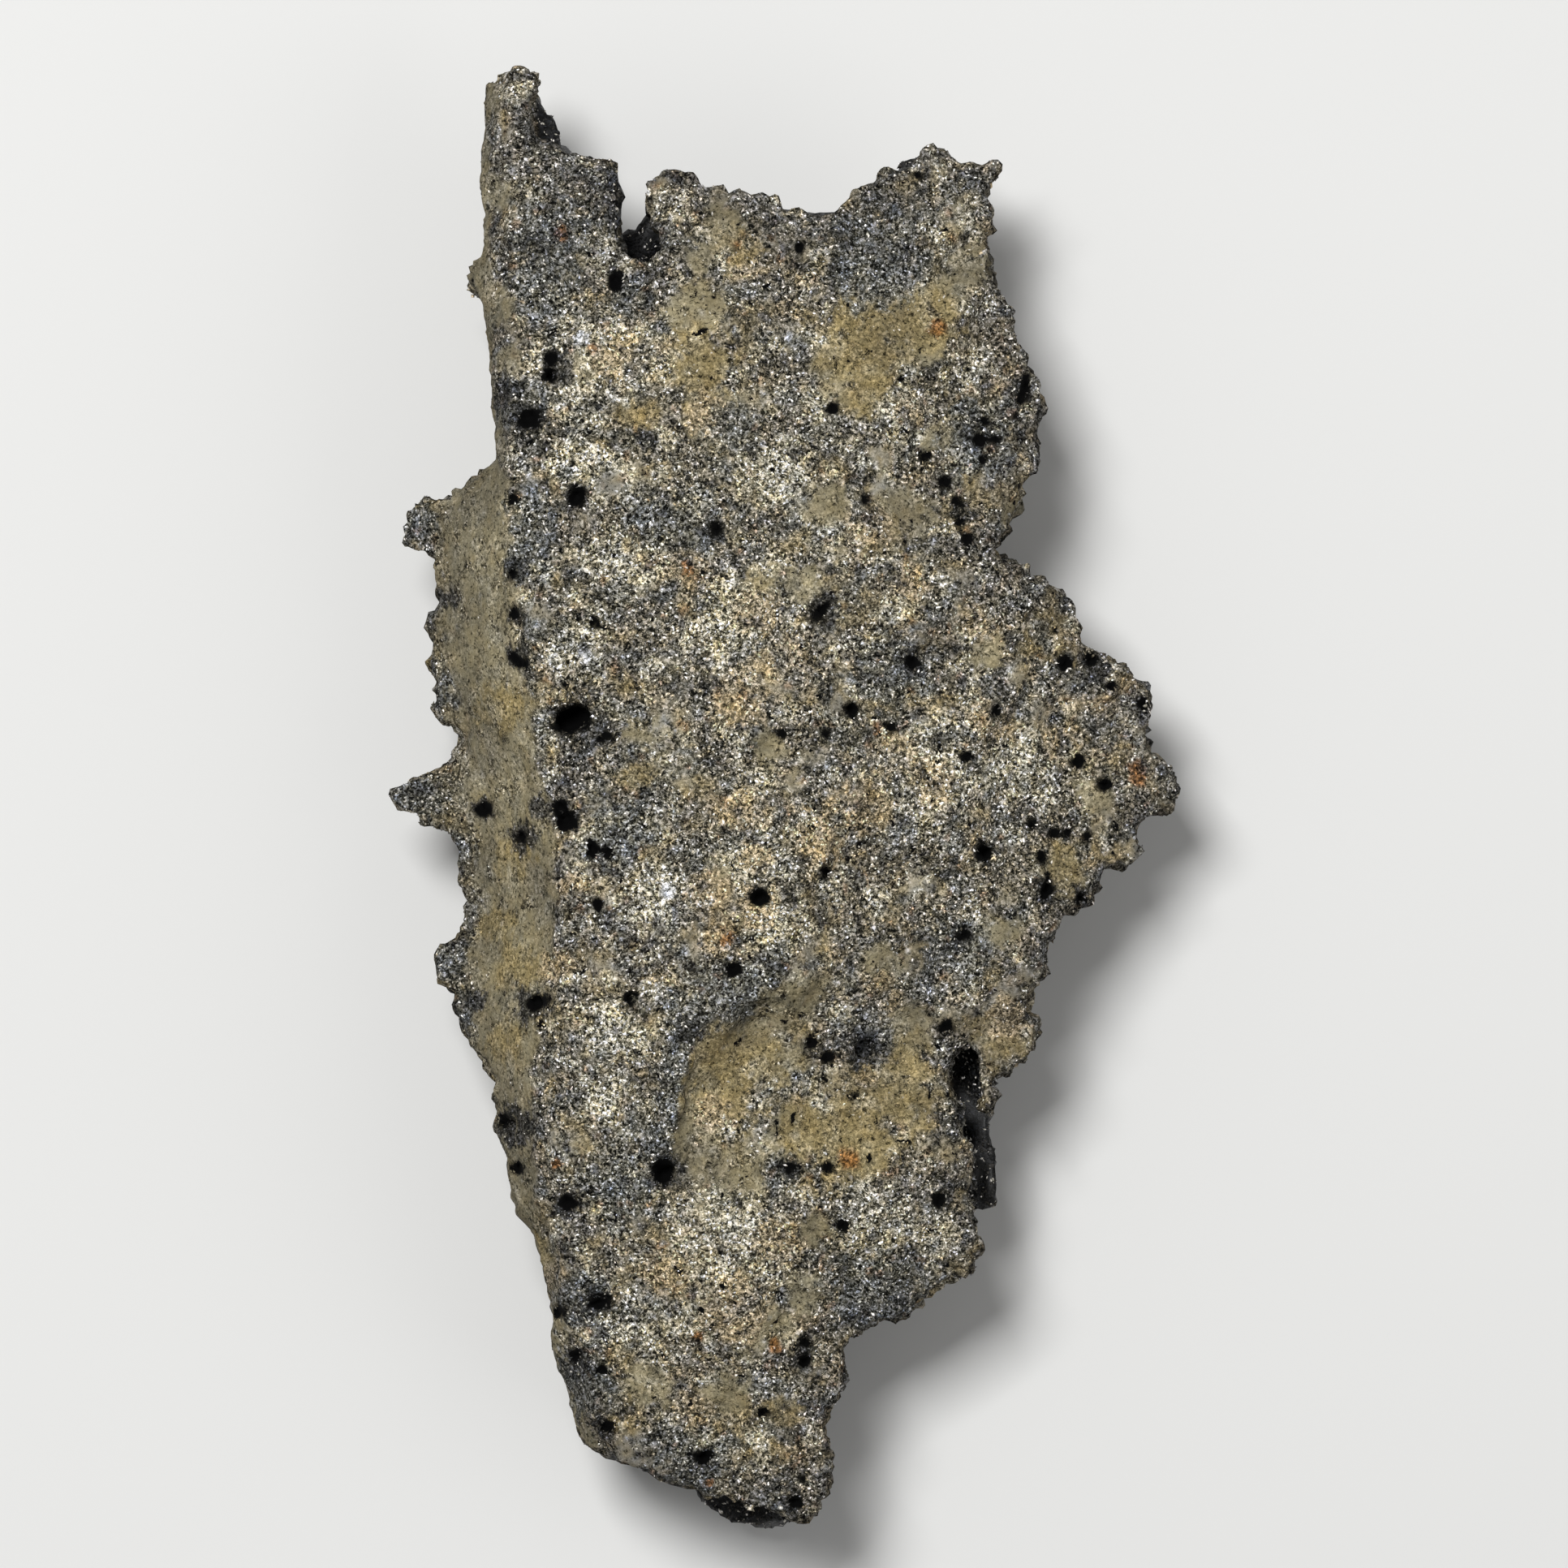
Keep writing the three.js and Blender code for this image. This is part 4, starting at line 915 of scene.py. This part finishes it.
def ramp(tree, source, stops):
    """A ramp over source; stops are (position, grey, and how much bluer than grey)."""
    node = add_node(tree, "ShaderNodeValToRGB")
    tree.links.new(source, node.inputs["Fac"])
    steps = node.color_ramp.elements
    steps.remove(steps[1])
    for k, (position, grey, blue) in enumerate(stops):
        step = steps.new(position) if k else steps[0]
        step.position, step.color = position, (grey, grey, grey * blue, 1)
    return node.outputs["Color"]


def blended(tree, first, second, share, way="MIX"):
    """Mixes two colours; share is a socket or a number."""
    node = add_node(tree, "ShaderNodeMix", data_type="RGBA", blend_type=way)
    if isinstance(share, (int, float)):
        node.inputs["Factor"].default_value = share
    else:
        tree.links.new(share, node.inputs["Factor"])
    tree.links.new(first, node.inputs[6])
    tree.links.new(second, node.inputs[7])
    return node.outputs[2]


print("helpers for nodes are ready")

# %% Flecks of the fine sand
FLECK_SIZE = 0.23 * MM
# Noise value, how many times as bright as the stored colour the fleck is, and how much bluer.
# The darkest steps paint shade between fine grains, and the brightest paint highlights on them.
GRIT_FLECKS = [
    (0.37, 0.01, 0.6), (0.42, 0.04, 0.65), (0.46, 0.3, 0.8), (0.49, 0.78, 0.95), (0.53, 1.24, 1.0),
    (0.565, 1.8, 1.06), (0.6, 2.7, 1.12), (0.64, 3.6, 1.15),
]
SKIN_FLECKS = [
    (0.33, 0.1, 0.8), (0.37, 0.4, 0.9), (0.41, 0.85, 1), (0.5, 1.0, 1), (0.58, 1.14, 1),
    (0.64, 1.45, 1.05),
]


def flecks(tree):
    """The stored colour broken up by flecks, and the noise behind them."""
    swirl = add_node(tree, "ShaderNodeTexNoise")
    swirl.inputs["Scale"].default_value = 1 / FLECK_SIZE
    swirl.inputs["Detail"].default_value = 2
    swirl.inputs["Roughness"].default_value = 0.75
    swirl.inputs["Distortion"].default_value = 0.7
    where = add_node(tree, "ShaderNodeTexCoord").outputs["Object"]
    tree.links.new(where, swirl.inputs["Vector"])
    height = swirl.outputs["Fac"]
    bare, thick = ramp(tree, height, SKIN_FLECKS), ramp(tree, height, GRIT_FLECKS)
    factor = blended(tree, bare, thick, stored(tree, "grainy").outputs["Fac"])
    colour = blended(tree, stored(tree, "crust_colour").outputs["Color"], factor, 1, "MULTIPLY")
    return colour, height


print("steps of a fleck:", len(GRIT_FLECKS), "in grit,", len(SKIN_FLECKS), "on bare skin")

# %% Painted shade in the pits, and bumps
RIM_CRUMBLE = 0.9


def holes(tree, colour, height):
    """The colour with painted shade making the pits black. Their rims are drawn sharp, and crumble with
    the noise.
    """
    rim = add_node(tree, "ShaderNodeMath", operation="MULTIPLY_ADD")
    tree.links.new(height, rim.inputs[0])
    rim.inputs[1].default_value = RIM_CRUMBLE
    tree.links.new(stored(tree, "painted_pit_shade").outputs["Fac"], rim.inputs[2])
    edge = 0.5 + 0.5 * RIM_CRUMBLE
    dark = ramp(tree, rim.outputs[0], [(edge - 0.03, 1, 1), (edge + 0.04, 0, 1)])
    return blended(tree, colour, dark, 1, "MULTIPLY")


def bumped(tree, shader, height, strength, distance):
    """Makes the noise stand out as fine bumps."""
    bump = add_node(tree, "ShaderNodeBump")
    bump.inputs["Strength"].default_value = strength
    bump.inputs["Distance"].default_value = distance
    tree.links.new(height, bump.inputs["Height"])
    tree.links.new(bump.outputs["Normal"], shader.inputs["Normal"])


print("a rim crumbles over", RIM_CRUMBLE, "of the noise")

# %% Skin of the crust
DUSTY_SHINE = 0.1
skin_material, tree, shader = new_material("fused sand")
colour, height = flecks(tree)
colour = holes(tree, colour, height)
tree.links.new(colour, shader.inputs["Base Color"])
shader.inputs["Roughness"].default_value = 0.9
shader.inputs["Specular IOR Level"].default_value = DUSTY_SHINE
bumped(tree, shader, height, 0.7, 0.1 * MM)
print("skin material:", len(tree.nodes), "nodes")

# %% [markdown]
# ## Glass of the bore
# The hot gas left the inside of the tube as smooth, dark glass. Its colour is nearly black, which is
# also painted shade where the inside of the back wall shows past the front one. It could be a piece of
# its own, but it is one skin with the crust, so it is a second material on the same mesh. The mask of
# the bore says which faces take it.

# %% Glass of the bore
glass_material, tree, shader = new_material("bore glass")
colour, height = flecks(tree)
tree.links.new(colour, shader.inputs["Base Color"])
shader.inputs["Roughness"].default_value = 0.45
shader.inputs["Specular IOR Level"].default_value = 0.2
bumped(tree, shader, height, 0.3, 0.05 * MM)
print("glass material:", len(tree.nodes), "nodes")

# %% Which faces are glass
crust.data.materials.clear()
crust.data.materials.append(skin_material)
crust.data.materials.append(glass_material)
corners = np.empty(len(crust.data.loops), dtype=np.int32)
crust.data.loops.foreach_get("vertex_index", corners)
first_corner = np.empty(len(crust.data.polygons), dtype=np.int32)
crust.data.polygons.foreach_get("loop_start", first_corner)
is_glass = (bore[corners[first_corner]] > 0.5).astype(np.int32)
crust.data.polygons.foreach_set("material_index", is_glass)
print("faces of glass:", int(is_glass.sum()))

# %% Grains
grain_material, tree, shader = new_material("sand grains")
colour, height = flecks(tree)
tree.links.new(colour, shader.inputs["Base Color"])
shader.inputs["Roughness"].default_value = 0.6
shader.inputs["Specular IOR Level"].default_value = 0.3
for piece in grains:
    piece.data.materials.append(grain_material)
print("grain material:", len(tree.nodes), "nodes")

# %% [markdown]
# ## Floor and light
# A pale matt floor and wide soft lamps show the crust without hard shadows. The key lamp stands up and
# to the left, so the ridge, the ledge and the pits read, and the sky fills the rest.

# %% Floor
FLOOR_SIZE = 3.0
floor_mesh = bpy.data.meshes.new("floor")
half = FLOOR_SIZE / 2
floor_mesh.from_pydata(
    [(-half, -half, 0), (half, -half, 0), (half, half, 0), (-half, half, 0)], [], [(0, 1, 2, 3)]
)
floor = bpy.data.objects.new("floor", floor_mesh)
bpy.context.collection.objects.link(floor)
floor_material, tree, shader = new_material("pale floor")
shader.inputs["Base Color"].default_value = (0.6, 0.6, 0.59, 1)
shader.inputs["Roughness"].default_value = 0.9
floor.data.materials.append(floor_material)
print("floor:", FLOOR_SIZE, "m across")


# %% Lamps and sky
def lamp(name, place, size, power):
    """A square soft lamp that faces the middle of the piece."""
    light = bpy.data.lights.new(name, "AREA")
    light.size = size
    light.energy = power
    holder = bpy.data.objects.new(name, light)
    holder.location = place
    toward = Vector((0, 0, 0.01)) - Vector(place)
    holder.rotation_euler = toward.to_track_quat("-Z", "Y").to_euler()
    bpy.context.collection.objects.link(holder)


lamp("key", (-0.19, 0.26, 0.74), 0.25, 7.2)
lamp("fill", (0.6, -0.2, 0.5), 0.6, 1.2)
sky = bpy.data.worlds.new("sky")
sky.use_nodes = True
sky.node_tree.nodes["Background"].inputs["Color"].default_value = (1, 1, 1, 1)
sky.node_tree.nodes["Background"].inputs["Strength"].default_value = 0.28
bpy.context.scene.world = sky
bpy.context.scene.view_settings.view_transform = "Standard"
print("lamps:", [light.name for light in bpy.data.lights])

# %% [markdown]
# ## The pieces and the body
# Every dressed piece rides on the one body and stands for the plain solid, which is hidden. Parenting
# by hand would move the pieces too, but these calls also note which piece belongs to what. The floor
# only stages the picture.

# %% Tie the pieces to the frame
for piece in (crust, *grains):
    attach(piece, "root")
    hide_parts(NODE)
